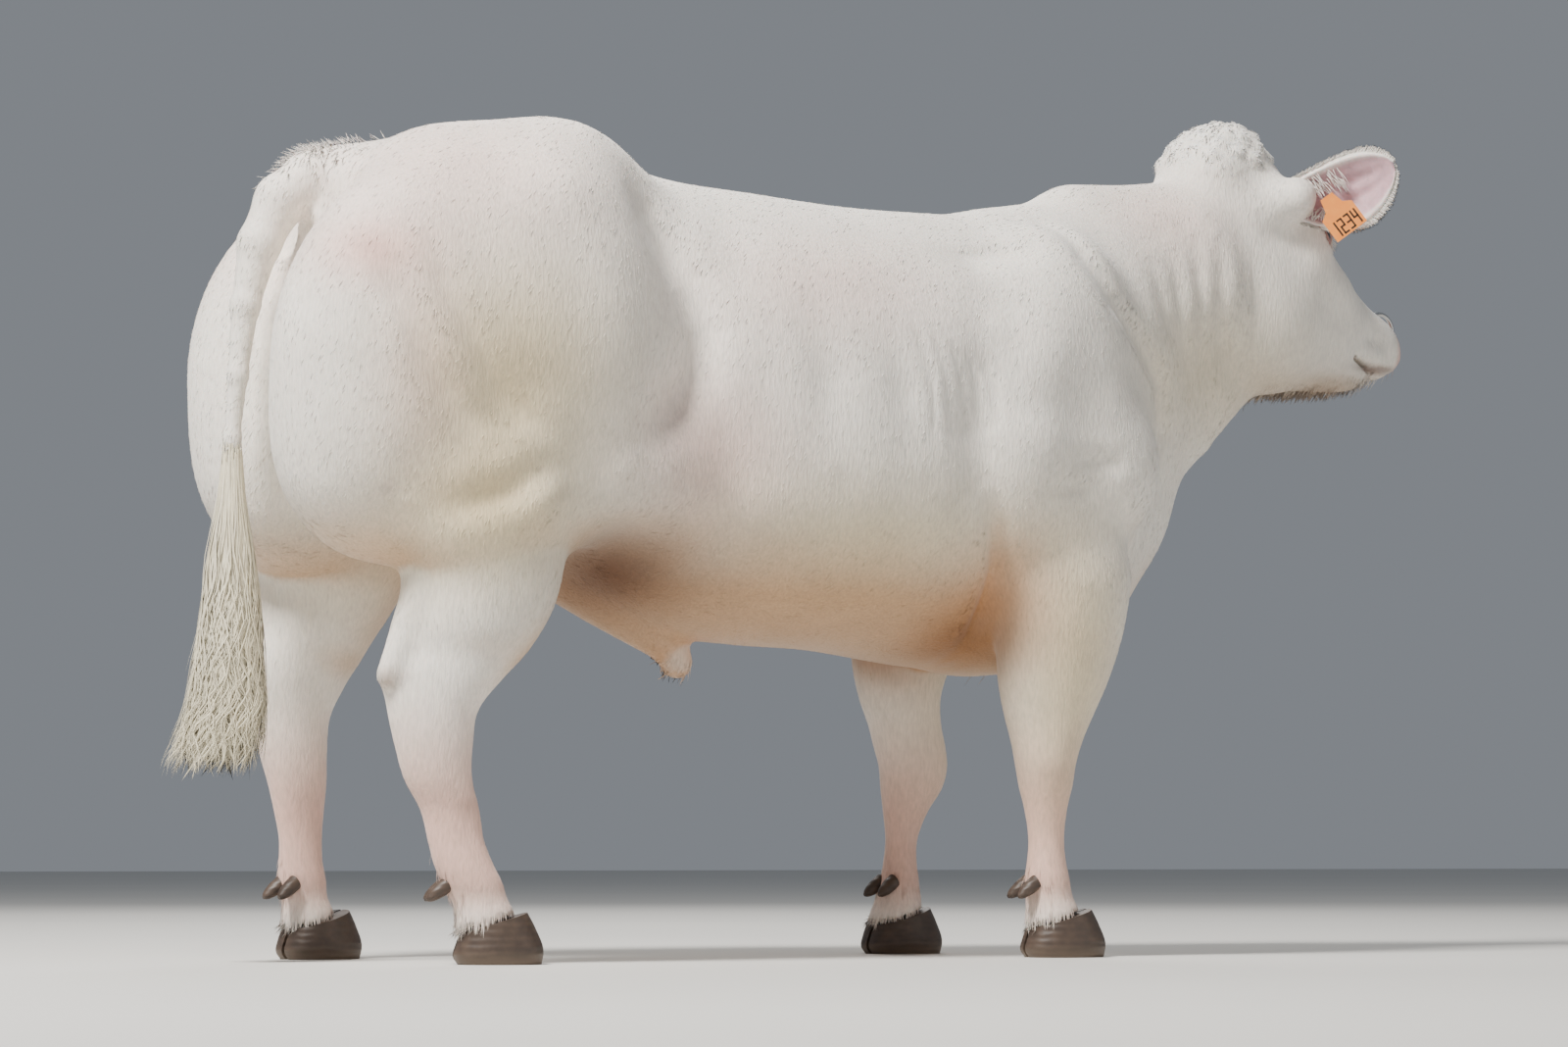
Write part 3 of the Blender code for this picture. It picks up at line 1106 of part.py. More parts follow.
def build():
    for item in list(bpy.data.objects):
        bpy.data.objects.remove(item)
    g = GAP / 2

    def both(cut, sign):
        """The same cut for either neighbour: sign 1 keeps what's behind the plane, -1 what's in front."""
        point, normal, *box = cut
        n = np.array(normal, float) / np.linalg.norm(normal)
        return (tuple(np.array(point) - n * g * sign), tuple(n * sign), *box)

    nape = ((0.735, 0.0, 1.060), (0.870, 0.05, 0.490))
    base = ((0.530, 0.0, 0.920), (0.960, 0.0, 0.280))
    loin = ((-0.262, 0.0, 0.90), (-1.0, 0.0, 0.0))
    thigh_r = ((-0.560, -0.100, 0.508), (0.10, -0.35, -0.93), (-0.86, -0.40, 0.30), (-0.405, -0.10, 0.72))
    thigh_l = ((-0.640, 0.100, 0.520), (0.10, 0.35, -0.93), (-0.94, 0.10, 0.30), (-0.475, 0.40, 0.72))
    arm_r = ((0.360, -0.100, 0.435), (0.0, -0.55, -0.83), (0.14, -0.40, 0.20), (0.60, -0.04, 0.75))
    arm_l = ((0.300, 0.100, 0.435), (0.0, 0.55, -0.83), (0.08, 0.04, 0.20), (0.54, 0.40, 0.75))
    parts = {}

    def add(item):
        parts[item.name] = item
        return item

    add(flesh("head", (0.60, -0.22, 0.84), (1.20, 0.26, 1.36), 0.0045, 3850, [both(nape, -1)]))
    add(flesh("neck", (0.38, -0.34, 0.50), (1.00, 0.34, 1.30), 0.010, 1700, [both(nape, 1), both(base, -1)]))
    add(flesh("torso", (-0.30, -0.36, 0.34), (0.76, 0.36, 1.28), 0.010, 2650,
              [both(base, 1), both(loin, 1), both(arm_r, 1), both(arm_l, 1)]))
    add(flesh("hindquarters", (-0.96, -0.38, 0.40), (-0.22, 0.38, 1.30), 0.010, 2350,
              [both(loin, -1), both(thigh_r, 1), both(thigh_l, 1)]))
    rooms = (((-0.78, -0.34, 0.02), (-0.36, -0.085, 0.64)), ((-0.86, 0.085, 0.02), (-0.42, 0.34, 0.64)),
             ((0.18, -0.32, 0.02), (0.58, -0.05, 0.70)), ((0.10, 0.05, 0.02), (0.54, 0.32, 0.70)))
    for (name, x, y, yaw, heel), cut, box in zip(feet(), (thigh_r, thigh_l, arm_r, arm_l), rooms):
        c, s = np.cos(np.radians(yaw)), np.sin(np.radians(yaw))
        crown = ((x, y, CORONET), (CORONET_SLOPE * c, CORONET_SLOPE * s, -1.0))
        add(flesh("leg_" + name, box[0], box[1], 0.0075, 900, [both(cut[:2], -1), crown]))
        for side, word in ((-1, "right"), (1, "left")):
            add(loft("claw_%s_%s" % (name, word), claw_rings(x, y, yaw, side, 9, 4)))
            add(loft("dewclaw_%s_%s" % (name, word), dewclaw_rings(x, y, yaw, heel, side, 7, 4)))
            boolean(parts["leg_" + name], swollen(parts["dewclaw_%s_%s" % (name, word)]), "DIFFERENCE")
    for side, word in ((-1, "right"), (1, "left")):
        add(eye("eye_" + word, side))
        boolean(parts["head"], swollen(parts["eye_" + word]), "DIFFERENCE")
        add(ear("ear_" + word, side))
        boolean(parts["head"], swollen(parts["ear_" + word]), "DIFFERENCE")
        add(tag("tag_" + word, side))
        boolean(parts["ear_" + word], swollen(parts["tag_" + word]), "DIFFERENCE")
    add(ring("nose_ring", RING_CENTRE, hp(0, 1, 0) - HEAD, RING_MAJOR, RING_MINOR))
    boolean(parts["head"], swollen(parts["nose_ring"]), "DIFFERENCE")
    add(tube("tail", TAIL, 12))
    boolean(parts["hindquarters"], swollen(parts["tail"]), "DIFFERENCE")
    add(switch("tail_switch"))
    return parts


def centre(parts):
    """Puts the origin on the ground under the middle of the whole animal."""
    ends = np.array([v.co for item in parts.values() for v in item.data.vertices])
    middle = (ends.min(0) + ends.max(0)) / 2
    for item in parts.values():
        for v in item.data.vertices:
            v.co.x -= middle[0]
            v.co.y -= middle[1]
    return middle


def paint(parts):
    """Gives each part a plain finish in the colours of the live animal."""
    made = {}
    for name, item in parts.items():
        word = next(w for w in FINISH if name.startswith(w))
        if word not in made:
            colour, rough, metal = FINISH[word]
            material = bpy.data.materials.new(word)
            material.use_nodes = True
            shader = material.node_tree.nodes["Principled BSDF"]
            shader.inputs["Base Color"].default_value = (*colour, 1.0)
            shader.inputs["Roughness"].default_value = rough
            shader.inputs["Metallic"].default_value = metal
            made[word] = material
        item.data.materials.clear()
        item.data.materials.append(made[word])
        item.data.shade_smooth()
        item.data.set_sharp_from_angle(angle=np.radians(50))


parts = build()
centre(parts)
paint(parts)
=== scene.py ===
"""A young Belgian Blue bull, standing: its looks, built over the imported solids."""

import math

import bmesh
import bpy
import numpy as np
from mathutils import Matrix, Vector
from mathutils.bvhtree import BVHTree


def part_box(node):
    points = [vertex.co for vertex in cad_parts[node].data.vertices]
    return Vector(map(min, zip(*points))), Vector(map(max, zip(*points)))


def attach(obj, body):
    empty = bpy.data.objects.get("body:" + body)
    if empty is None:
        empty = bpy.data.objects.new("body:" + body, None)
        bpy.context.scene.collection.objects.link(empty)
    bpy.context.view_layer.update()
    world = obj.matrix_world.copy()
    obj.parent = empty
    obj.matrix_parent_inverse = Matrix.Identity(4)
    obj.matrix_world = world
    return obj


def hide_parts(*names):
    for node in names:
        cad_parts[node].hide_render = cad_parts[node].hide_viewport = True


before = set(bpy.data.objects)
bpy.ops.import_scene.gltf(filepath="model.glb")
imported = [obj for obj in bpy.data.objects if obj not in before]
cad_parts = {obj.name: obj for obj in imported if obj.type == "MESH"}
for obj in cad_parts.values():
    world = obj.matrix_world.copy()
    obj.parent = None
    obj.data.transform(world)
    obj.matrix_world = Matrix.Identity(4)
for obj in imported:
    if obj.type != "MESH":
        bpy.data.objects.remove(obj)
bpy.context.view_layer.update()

# How far the skin lies inside the solids, for the depth of the short coat, on the body and on the head.
COAT_DEPTH = 0.0035
FACE_DEPTH = 0.0012
# Spacing of the grid that the skin is made on, over the body, and over the head's reach each way.
COARSE = 0.007
FINE = 0.0035
# Radius of an eyeball, and the gap left above a claw.
EYE = 0.0205
GAP = 0.0003
# How far out from the middle plane the relief drawn in side view comes in.
RELIEF_FADE = 0.04
SIDES = ((-1, "right"), (1, "left"))


def spline(knots, values, t):
    """A smooth curve through values at knots, read at t."""
    knots = np.asarray(knots, float)
    values = np.asarray(values, float)
    slopes = np.gradient(values, knots)
    t = np.clip(t, knots[0], knots[-1])
    i = np.clip(np.searchsorted(knots, t) - 1, 0, len(knots) - 2)
    span = knots[i + 1] - knots[i]
    s = (t - knots[i]) / span
    return (
        values[i] * (1 + 2 * s) * (1 - s) ** 2
        + slopes[i] * span * s * (1 - s) ** 2
        + values[i + 1] * s * s * (3 - 2 * s)
        + slopes[i + 1] * span * s * s * (s - 1)
    )


def melt(a, b, blend):
    """The nearer of two distances, with a fillet about blend wide where they meet."""
    h = np.maximum(blend - np.abs(a - b), 0) / blend
    return np.minimum(a, b) - h * h * blend * 0.25


def turned(yaw=0.0, pitch=0.0, roll=0.0):
    """Rows are a form's own axes, turned in degrees by yaw about Z, pitch about Y and roll about X."""
    a, b, c = np.radians((yaw, pitch, roll))
    rz = np.array([[np.cos(a), -np.sin(a), 0], [np.sin(a), np.cos(a), 0], [0, 0, 1]])
    ry = np.array([[np.cos(b), 0, np.sin(b)], [0, 1, 0], [-np.sin(b), 0, np.cos(b)]])
    rx = np.array([[1, 0, 0], [0, np.cos(c), -np.sin(c)], [0, np.sin(c), np.cos(c)]])
    return (rz @ ry @ rx).T


class Ball:
    """An ellipsoid: centre, three radii, and its own axes."""

    def __init__(self, centre, radii, axes=np.eye(3)):
        self.centre, self.radii, self.axes = np.array(centre, float), np.array(radii, float), axes
        reach = np.sqrt((self.axes.T**2) @ (self.radii**2))
        self.low, self.high = self.centre - reach, self.centre + reach

    def distance(self, x, y, z):
        px, py, pz = x - self.centre[0], y - self.centre[1], z - self.centre[2]
        q = [px * a[0] + py * a[1] + pz * a[2] for a in self.axes]
        near = np.sqrt(sum((v / r) ** 2 for v, r in zip(q, self.radii))) + 1e-9
        steep = np.sqrt(sum((v / r**2) ** 2 for v, r in zip(q, self.radii))) + 1e-9
        return near * (near - 1) / steep


class Taper:
    """A rod from a to b with round ends and radii ra and rb, flattened along `flat` to `ratio` of them."""

    def __init__(self, a, b, ra, rb, flat=(0, 1, 0), ratio=1.0):
        self.a, self.b, self.ra, self.rb = np.array(a, float), np.array(b, float), ra, rb
        self.flat, self.ratio = np.array(flat, float) / np.linalg.norm(flat), ratio
        reach = max(ra, rb)
        self.low = np.minimum(self.a, self.b) - reach
        self.high = np.maximum(self.a, self.b) + reach

    def distance(self, x, y, z):
        n, stretch = self.flat, 1 / self.ratio - 1
        px, py, pz = x - self.a[0], y - self.a[1], z - self.a[2]
        out = px * n[0] + py * n[1] + pz * n[2]
        d = self.b - self.a
        ds = d + n * (d @ n) * stretch
        px, py, pz = px + n[0] * out * stretch, py + n[1] * out * stretch, pz + n[2] * out * stretch
        t = np.clip((px * ds[0] + py * ds[1] + pz * ds[2]) / (ds @ ds), 0, 1)
        r = self.ra + (self.rb - self.ra) * t
        off = np.sqrt((px - ds[0] * t) ** 2 + (py - ds[1] * t) ** 2 + (pz - ds[2] * t) ** 2)
        return (off - r) * min(1.0, self.ratio)


class Barrel:
    """A long body along X, by upright sections: x, top, bottom, half width, widest level, squareness."""

    def __init__(self, sections):
        rows = np.array(sorted(sections), float)
        self.x, self.rows = rows[:, 0], rows[:, 1:]
        wide = self.rows[:, 2].max()
        self.low = np.array([self.x[0], -wide, self.rows[:, 1].min()])
        self.high = np.array([self.x[-1], wide, self.rows[:, 0].max()])

    def distance(self, x, y, z):
        top, bottom, wide, level, square = (spline(self.x, self.rows[:, k], x) for k in range(5))
        tall = np.where(z > level, top - level, level - bottom)
        u, v = np.abs(y) / wide, np.abs(z - level) / tall
        total = (u + 1e-6) ** square + (v + 1e-6) ** square
        near = total ** (1 / square)
        steep = near ** (1 - square) * np.sqrt(
            ((u + 1e-6) ** (square - 1) / wide) ** 2 + ((v + 1e-6) ** (square - 1) / tall) ** 2
        )
        side = (near - 1) / np.maximum(steep, 1.0)
        over = np.maximum(x - self.x[-1], self.x[0] - x)
        return np.maximum(side, over)


class Pillow:
    """A form drawn in side view: a closed outline, and half widths and edge radii given at places in it."""

    CELL = 0.003

    def __init__(self, outline, places, square, origin, yaw):
        ring = smooth_ring(outline, 6)
        self.square, self.origin, self.turn = square, np.array(origin, float), np.radians(yaw)
        low, high = ring.min(0) - 0.06, ring.max(0) + 0.06
        self.start = low
        p, q = np.meshgrid(*(np.arange(a, b, self.CELL) for a, b in zip(low, high)), indexing="ij")
        nearest = line_distance(p, q, [*map(tuple, ring), tuple(ring[0])])
        inside = np.zeros(p.shape, bool)
        for (a0, a1), (b0, b1) in zip(ring, np.roll(ring, -1, 0)):
            spans = (a1 > q) != (b1 > q)
            inside ^= spans & (p < (b0 - a0) * (q - a1) / (b1 - a1 + 1e-12) + a0)
        self.depth = np.where(inside, nearest, -nearest)
        weights = [np.exp(-((p - u) ** 2 + (q - z) ** 2) / (2 * spread**2)) + 1e-12
                   for u, z, _, _, spread in places]
        total = sum(weights)
        self.wide = sum(w * row[2] for w, row in zip(weights, places)) / total
        self.edge = sum(w * row[3] for w, row in zip(weights, places)) / total
        c, s, reach = np.cos(self.turn), np.sin(self.turn), max(row[2] for row in places)
        ends = np.array([(u * c - v * s, u * s + v * c) for u in (low[0], high[0])
                         for v in (-reach, reach)])
        self.low = np.array([*(ends.min(0) + self.origin[:2]), low[1]])
        self.high = np.array([*(ends.max(0) + self.origin[:2]), high[1]])

    def distance(self, x, y, z):
        c, s = np.cos(self.turn), np.sin(self.turn)
        u = (x - self.origin[0]) * c + (y - self.origin[1]) * s
        v = np.abs(-(x - self.origin[0]) * s + (y - self.origin[1]) * c)
        i = np.clip((u - self.start[0]) / self.CELL, 0, self.depth.shape[0] - 1.001)
        j = np.clip((z - self.start[1]) / self.CELL, 0, self.depth.shape[1] - 1.001)
        i0, j0 = i.astype(int), j.astype(int)
        fi, fj = i - i0, j - j0

        def read(chart):
            return ((chart[i0, j0] * (1 - fi) + chart[i0 + 1, j0] * fi) * (1 - fj)
                    + (chart[i0, j0 + 1] * (1 - fi) + chart[i0 + 1, j0 + 1] * fi) * fj)

        depth, wide, edge, n = read(self.depth), read(self.wide), read(self.edge), self.square
        a, b = v / wide + 1e-6, np.maximum(edge - depth, 0) / edge + 1e-6
        near = (a**n + b**n) ** (1 / n)
        steep = near ** (1 - n) * np.sqrt((a ** (n - 1) / wide) ** 2 + (b ** (n - 1) / edge) ** 2)
        return (near - 1) / np.maximum(steep, 3.0)


def smooth_ring(points, count):
    """A closed smooth curve through points, with count steps from each to the next."""
    p = np.array(points, float)
    before, after, later = np.roll(p, 1, 0), np.roll(p, -1, 0), np.roll(p, -2, 0)
    steps = []
    for t in np.arange(count) / count:
        steps.append(0.5 * (2 * p + (after - before) * t + (2 * before - 5 * p + 4 * after - later) * t * t
                            + (3 * p - before - 3 * after + later) * t**3))
    return np.stack(steps, 1).reshape(-1, 2)


def mirrored(form):
    """The same form on the animal's other side."""
    twin = type(form).__new__(type(form))
    twin.__dict__ = dict(form.__dict__)
    flip = np.array([1.0, -1.0, 1.0])
    inner = form.distance

    def distance(x, y, z):
        return inner(x, -y, z)

    twin.distance = distance
    low, high = form.low * flip, form.high * flip
    twin.low, twin.high = np.minimum(low, high), np.maximum(low, high)
    return twin


def line_distance(p, q, points):
    """Distance in the plane from (p, q) to a line through points."""
    best = None
    for (a0, a1), (b0, b1) in zip(points[:-1], points[1:]):
        d0, d1 = b0 - a0, b1 - a1
        t = np.clip(((p - a0) * d0 + (q - a1) * d1) / (d0 * d0 + d1 * d1 + 1e-12), 0, 1)
        away = np.hypot(p - a0 - d0 * t, q - a1 - d1 * t)
        best = away if best is None else np.minimum(best, away)
    return best


class Clay:
    """Distances to the skin on a grid, negative inside. Forms are added, cut, raised or pressed in."""

    def __init__(self, xs, ys, zs):
        self.axes = [np.asarray(v, np.float32) for v in (xs, ys, zs)]
        self.field = np.full([len(v) for v in self.axes], 1.0, np.float32)

    def window(self, low, high, margin):
        spans = []
        for axis, lo, hi in zip(self.axes, low, high):
            i, j = np.searchsorted(axis, (lo - margin, hi + margin))
            if j - i < 1:
                return None, None
            spans.append(slice(i, j))
        x, y, z = (axis[s] for axis, s in zip(self.axes, spans))
        return tuple(spans), (x[:, None, None], y[None, :, None], z[None, None, :])

    def add(self, form, blend=0.02):
        spans, xyz = self.window(form.low, form.high, blend + 0.03)
        if spans is not None:
            self.field[spans] = melt(self.field[spans], form.distance(*xyz), blend)

    def add_pair(self, form, blend=0.02):
        self.add(form, blend)
        self.add(mirrored(form), blend)

    def cut(self, form, blend=0.01):
        spans, xyz = self.window(form.low, form.high, blend + 0.03)
        if spans is not None:
            self.field[spans] = -melt(-self.field[spans], form.distance(*xyz), blend)

    def cut_pair(self, form, blend=0.01):
        self.cut(form, blend)
        self.cut(mirrored(form), blend)

    def groove(self, points, width, depth):
        """Presses a line in on both sides, drawn in side view as (x, z) points."""
        pts = np.array(points, float)
        low = [pts[:, 0].min(), -9, pts[:, 1].min()]
        high = [pts[:, 0].max(), 9, pts[:, 1].max()]
        spans, xyz = self.window(low, high, 2.6 * width)
        if spans is None:
            return
        x, y, z = xyz
        away = line_distance(x[:, 0, 0][:, None], z[0, 0][None, :], points)
        ends = [np.hypot(x[:, 0, 0][:, None] - e[0], z[0, 0][None, :] - e[1]) for e in (pts[0], pts[-1])]
        relief = depth * np.exp(-((away / width) ** 2)) * np.clip(np.minimum(*ends) / (4 * width), 0, 1)
        self._relief(spans, relief[:, None, :], y)

    def swell(self, centre, radii, height, tilt=0.0):
        """Raises a soft mound on both sides, in side view: centre (x, z), two radii, a tilt in degrees."""
        reach = max(radii) * 1.8
        low = [centre[0] - reach, -9, centre[1] - reach]
        high = [centre[0] + reach, 9, centre[1] + reach]
        spans, xyz = self.window(low, high, 0.0)
        if spans is None:
            return
        x, y, z = xyz
        c, s = np.cos(np.radians(tilt)), np.sin(np.radians(tilt))
        p, q = x[:, 0, 0][:, None] - centre[0], z[0, 0][None, :] - centre[1]
        r2 = ((p * c + q * s) / radii[0]) ** 2 + ((-p * s + q * c) / radii[1]) ** 2
        relief = -height * np.exp(-1.2 * r2)
        self._relief(spans, relief[:, None, :], y)

    def _relief(self, spans, relief, y):
        share = np.clip(np.abs(y) / RELIEF_FADE, 0, 1)
        self.field[spans] += (relief * share).astype(np.float32)


def fill_pinches(field):
    """Fills the few grid corners where two sheets of skin would meet at a point or an edge."""
    inside = field < 0
    for _ in range(12):
        pinch = np.zeros_like(inside)
        for a, b in ((0, 1), (0, 2), (1, 2)):
            s = [[slice(None)] * 3 for _ in range(4)]
            for k, (i, j) in enumerate(((0, 0), (0, 1), (1, 0), (1, 1))):
                s[k][a] = slice(i, -1 if i == 0 else None)
                s[k][b] = slice(j, -1 if j == 0 else None)
            p00, p01, p10, p11 = (inside[tuple(v)] for v in s)
            bad = (p00 == p11) & (p01 == p10) & (p00 != p01)
            for v in s:
                pinch[tuple(v)] |= bad
        c = [inside[i : inside.shape[0] - 1 + i, j : inside.shape[1] - 1 + j, k : inside.shape[2] - 1 + k]
             for i in (0, 1) for j in (0, 1) for k in (0, 1)]
        total = sum(v.astype(np.int8) for v in c)
        for a in range(4):
            two = (total == 2) & c[a] & c[7 - a]
            six = (total == 6) & ~c[a] & ~c[7 - a]
            if two.any() or six.any():
                bad = two | six
                nx, ny, nz = bad.shape
                for i, j, k in np.ndindex(2, 2, 2):
                    pinch[i : nx + i, j : ny + j, k : nz + k] |= bad
        pinch &= ~inside
        if not pinch.any():
            break
        field[pinch] = -1e-5
        inside |= pinch
    return field


def net(axes, field):
    """The surface where field is zero, as points and four-sided faces with their fronts outwards."""
    field = fill_pinches(field)
    inside = field < 0
    nx, ny, nz = field.shape
    corners = [(i, j, k) for i in (0, 1) for j in (0, 1) for k in (0, 1)]

    def view(a, c):
        return a[c[0] : nx - 1 + c[0], c[1] : ny - 1 + c[1], c[2] : nz - 1 + c[2]]

    count = sum(view(inside, c).astype(np.int8) for c in corners)
    cells = np.argwhere((count > 0) & (count < 8))
    index = np.full((nx - 1, ny - 1, nz - 1), -1, np.int64)
    index[tuple(cells.T)] = np.arange(len(cells))
    values = np.stack([field[tuple((cells + c).T)] for c in corners], 1)
    total, hits = np.zeros((len(cells), 3)), np.zeros(len(cells))
    for a in range(8):
        for b in range(a + 1, 8):
            ca, cb = np.array(corners[a]), np.array(corners[b])
            if abs(ca - cb).sum() != 1:
                continue
            fa, fb = values[:, a], values[:, b]
            cross = (fa < 0) != (fb < 0)
            t = np.where(cross, fa / np.where(cross, fa - fb, 1), 0)
            total += (cross[:, None]) * (ca + (cb - ca) * t[:, None])
            hits += cross
    where = cells + total / hits[:, None]
    base = np.floor(where).astype(int)
    points = np.empty_like(where)
    for k in range(3):
        axis = axes[k].astype(float)
        i = np.clip(base[:, k], 0, len(axis) - 2)
        points[:, k] = axis[i] + (axis[i + 1] - axis[i]) * (where[:, k] - i)
    faces = []
    for k in range(3):
        a, b = (k + 1) % 3, (k + 2) % 3
        near = [slice(None)] * 3
        far = [slice(None)] * 3
        near[k], far[k] = slice(0, -1), slice(1, None)
        cross = inside[tuple(near)] != inside[tuple(far)]
        cross_inner = np.zeros_like(cross)
        keep = [slice(None)] * 3
        keep[a], keep[b] = slice(1, -1), slice(1, -1)
        cross_inner[tuple(keep)] = cross[tuple(keep)]
        e = np.argwhere(cross_inner)
        ea, eb = np.zeros(3, int), np.zeros(3, int)
        ea[a], eb[b] = 1, 1
        quad = np.stack([index[tuple((e - da * ea - db * eb).T)] for da,
                         db in ((1, 1), (0, 1), (0, 0), (1, 0))], 1)
        out = inside[tuple(e.T)]
        quad[~out] = quad[~out][:, ::-1]
        faces.append(quad)
    return points, np.concatenate(faces)


HEAD = np.array([0.70, 0.0, 0.0])
TURN = 12.0
HEAD_COS, HEAD_SIN = np.cos(np.radians(TURN)), np.sin(np.radians(TURN))


def hp(u, v, z):
    """A place given in the head's own directions: u forward, v left, z up."""
    return HEAD + (u * HEAD_COS - v * HEAD_SIN, u * HEAD_SIN + v * HEAD_COS, z)


def eye_place(side):
    """The eye's centre, and the directions of its slit, its height and its gaze. side is -1 right, 1 left."""
    centre = hp(0.205, side * 0.093, 1.130)
    gaze = hp(0.48, side * 0.87, 0.04) - HEAD
    gaze /= np.linalg.norm(gaze)
    slit = hp(0.74, 0, -0.67) - HEAD
    slit -= gaze * (slit @ gaze)
    slit /= np.linalg.norm(slit)
    return centre, np.array([slit, np.cross(gaze, slit), gaze])


def ear_place(side):
    """The ear's root, the way it points, and the way its hollow faces. side is -1 right, 1 left."""
    root = hp(0.120, side * 0.092, 1.178)
    axis, towards = np.array([0.62, 0.72 * side, 0.27]), np.array([-0.35, 0.93 * side, 0.05])
    spin = np.array([[HEAD_COS, -HEAD_SIN, 0], [HEAD_SIN, HEAD_COS, 0], [0, 0, 1]])
    return root, spin @ axis, spin @ towards


class Leg:
    """A leg: level sections of height, centre x and y, radius along and across, all turned out by yaw."""

    def __init__(self, sections, yaw):
        rows = np.array(sorted(sections), float)
        self.z, self.rows, self.yaw = rows[:, 0], rows[:, 1:], np.radians(yaw)
        reach = self.rows[:, 2:].max()
        self.low = np.array([*(self.rows[:, :2].min(0) - reach), self.z[0]])
        self.high = np.array([*(self.rows[:, :2].max(0) + reach), self.z[-1]])

    def distance(self, x, y, z):
        cx, cy, rx, ry = (spline(self.z, self.rows[:, k], z) for k in range(4))
        c, s = np.cos(self.yaw), np.sin(self.yaw)
        u, v = ((x - cx) * c + (y - cy) * s) / rx, (-(x - cx) * s + (y - cy) * c) / ry
        near = np.sqrt(u * u + v * v) + 1e-9
        steep = np.sqrt((u / rx) ** 2 + (v / ry) ** 2) + 1e-9
        side = near * (near - 1) / steep
        over = np.maximum(z - self.z[-1], self.z[0] - z)
        return np.maximum(side, over)


def trunk(clay):
    clay.add(Barrel([
        (-0.76, 1.080, 0.90, 0.060, 0.98, 2.0),
        (-0.68, 1.155, 0.76, 0.160, 0.97, 2.0),
        (-0.57, 1.190, 0.66, 0.225, 0.95, 2.1),
        (-0.45, 1.195, 0.590, 0.255, 0.92, 2.2),
        (-0.33, 1.178, 0.515, 0.250, 0.88, 2.25),
        (-0.24, 1.156, 0.480, 0.258, 0.85, 2.3),
        (-0.08, 1.140, 0.462, 0.280, 0.81, 2.35),
        (0.06, 1.130, 0.455, 0.288, 0.79, 2.35),
        (0.20, 1.130, 0.435, 0.280, 0.80, 2.25),
        (0.34, 1.134, 0.422, 0.255, 0.82, 2.2),
        (0.46, 1.140, 0.460, 0.210, 0.84, 2.1),
        (0.56, 1.120, 0.560, 0.150, 0.87, 2.0),
        (0.64, 1.060, 0.700, 0.090, 0.89, 2.0),
        (0.70, 1.000, 0.820, 0.030, 0.91, 2.0)]), 0.04)
    # Neck, from its crest to the throat.
    clay.add(Taper((0.38, 0.0, 1.03), (0.685, 0.006, 1.115), 0.100, 0.088), 0.08)
    clay.add(Taper((0.50, 0.0, 1.125), (0.68, 0.008, 1.130), 0.070, 0.072), 0.04)
    clay.add(Taper((0.44, 0.0, 0.92), (0.690, 0.006, 1.030), 0.165, 0.118), 0.08)
    clay.add(Taper((0.512, 0.0, 0.742), (0.756, 0.008, 0.946), 0.130, 0.098, (0, 1, 0), 0.78), 0.05)
    # Brisket.
    clay.add(Ball((0.45, 0.0, 0.62), (0.155, 0.12, 0.17), turned(0, 30, 0)), 0.06)
    clay.add(Ball((0.57, 0.0, 0.68), (0.085, 0.07, 0.10), turned(0, 30, 0)), 0.05)


def hindquarters(clay):
    # Rump and thigh masses.
    clay.add_pair(Ball((-0.445, -0.125, 1.035), (0.175, 0.145, 0.180), turned(0, 8, 12)), 0.05)
    clay.add_pair(Ball((-0.56, -0.10, 1.06), (0.17, 0.12, 0.135), turned(0, 14, 12)), 0.05)
    clay.add_pair(Ball((-0.465, -0.165, 0.88), (0.195, 0.155, 0.27), turned(0, -12, 6)), 0.05)
    for side, dx in ((-1, 0.0), (1, -0.012)):
        rump = Ball((-0.640 + dx, side * 0.165, 0.855), (0.228, 0.148, 0.285), turned(0, 8, -side * 4))
        clay.add(rump, 0.05)
        clay.add(Ball((-0.70 + dx, side * 0.152, 0.725), (0.152, 0.120, 0.165), turned(0, 10, 0)), 0.05)
    # Stifle and the top of the gaskin.
    clay.add(Ball((-0.515, -0.190, 0.71), (0.135, 0.105, 0.13), turned(0, -25, 0)), 0.05)
    clay.add(Taper((-0.490, -0.185, 0.68), (-0.585, -0.198, 0.49), 0.105, 0.080, (0, 1, 0), 0.85), 0.04)
    clay.add(Ball((-0.560, 0.190, 0.71), (0.135, 0.105, 0.13), turned(0, -25, 0)), 0.05)
    clay.add(Taper((-0.560, 0.185, 0.68), (-0.665, 0.198, 0.49), 0.105, 0.078, (0, 1, 0), 0.85), 0.04)
    # The gaskins run up into the thighs.
    clay.add(Ball((-0.590, -0.203, 0.640), (0.120, 0.092, 0.125)), 0.05)
    clay.add(Ball((-0.655, 0.203, 0.640), (0.115, 0.090, 0.125)), 0.05)
    # Tail head.
    clay.add(Ball((-0.66, 0.0, 1.100), (0.12, 0.075, 0.068), turned(0, 15, 0)), 0.05)
    # Fold of the flank, and the hollow under it.
    clay.add_pair(Ball((-0.360, -0.190, 0.705), (0.125, 0.085, 0.100), turned(0, 20, 0)), 0.07)
    clay.cut_pair(Ball((-0.350, -0.300, 0.500), (0.112, 0.185, 0.130), turned(0, 14, 0)), 0.012)


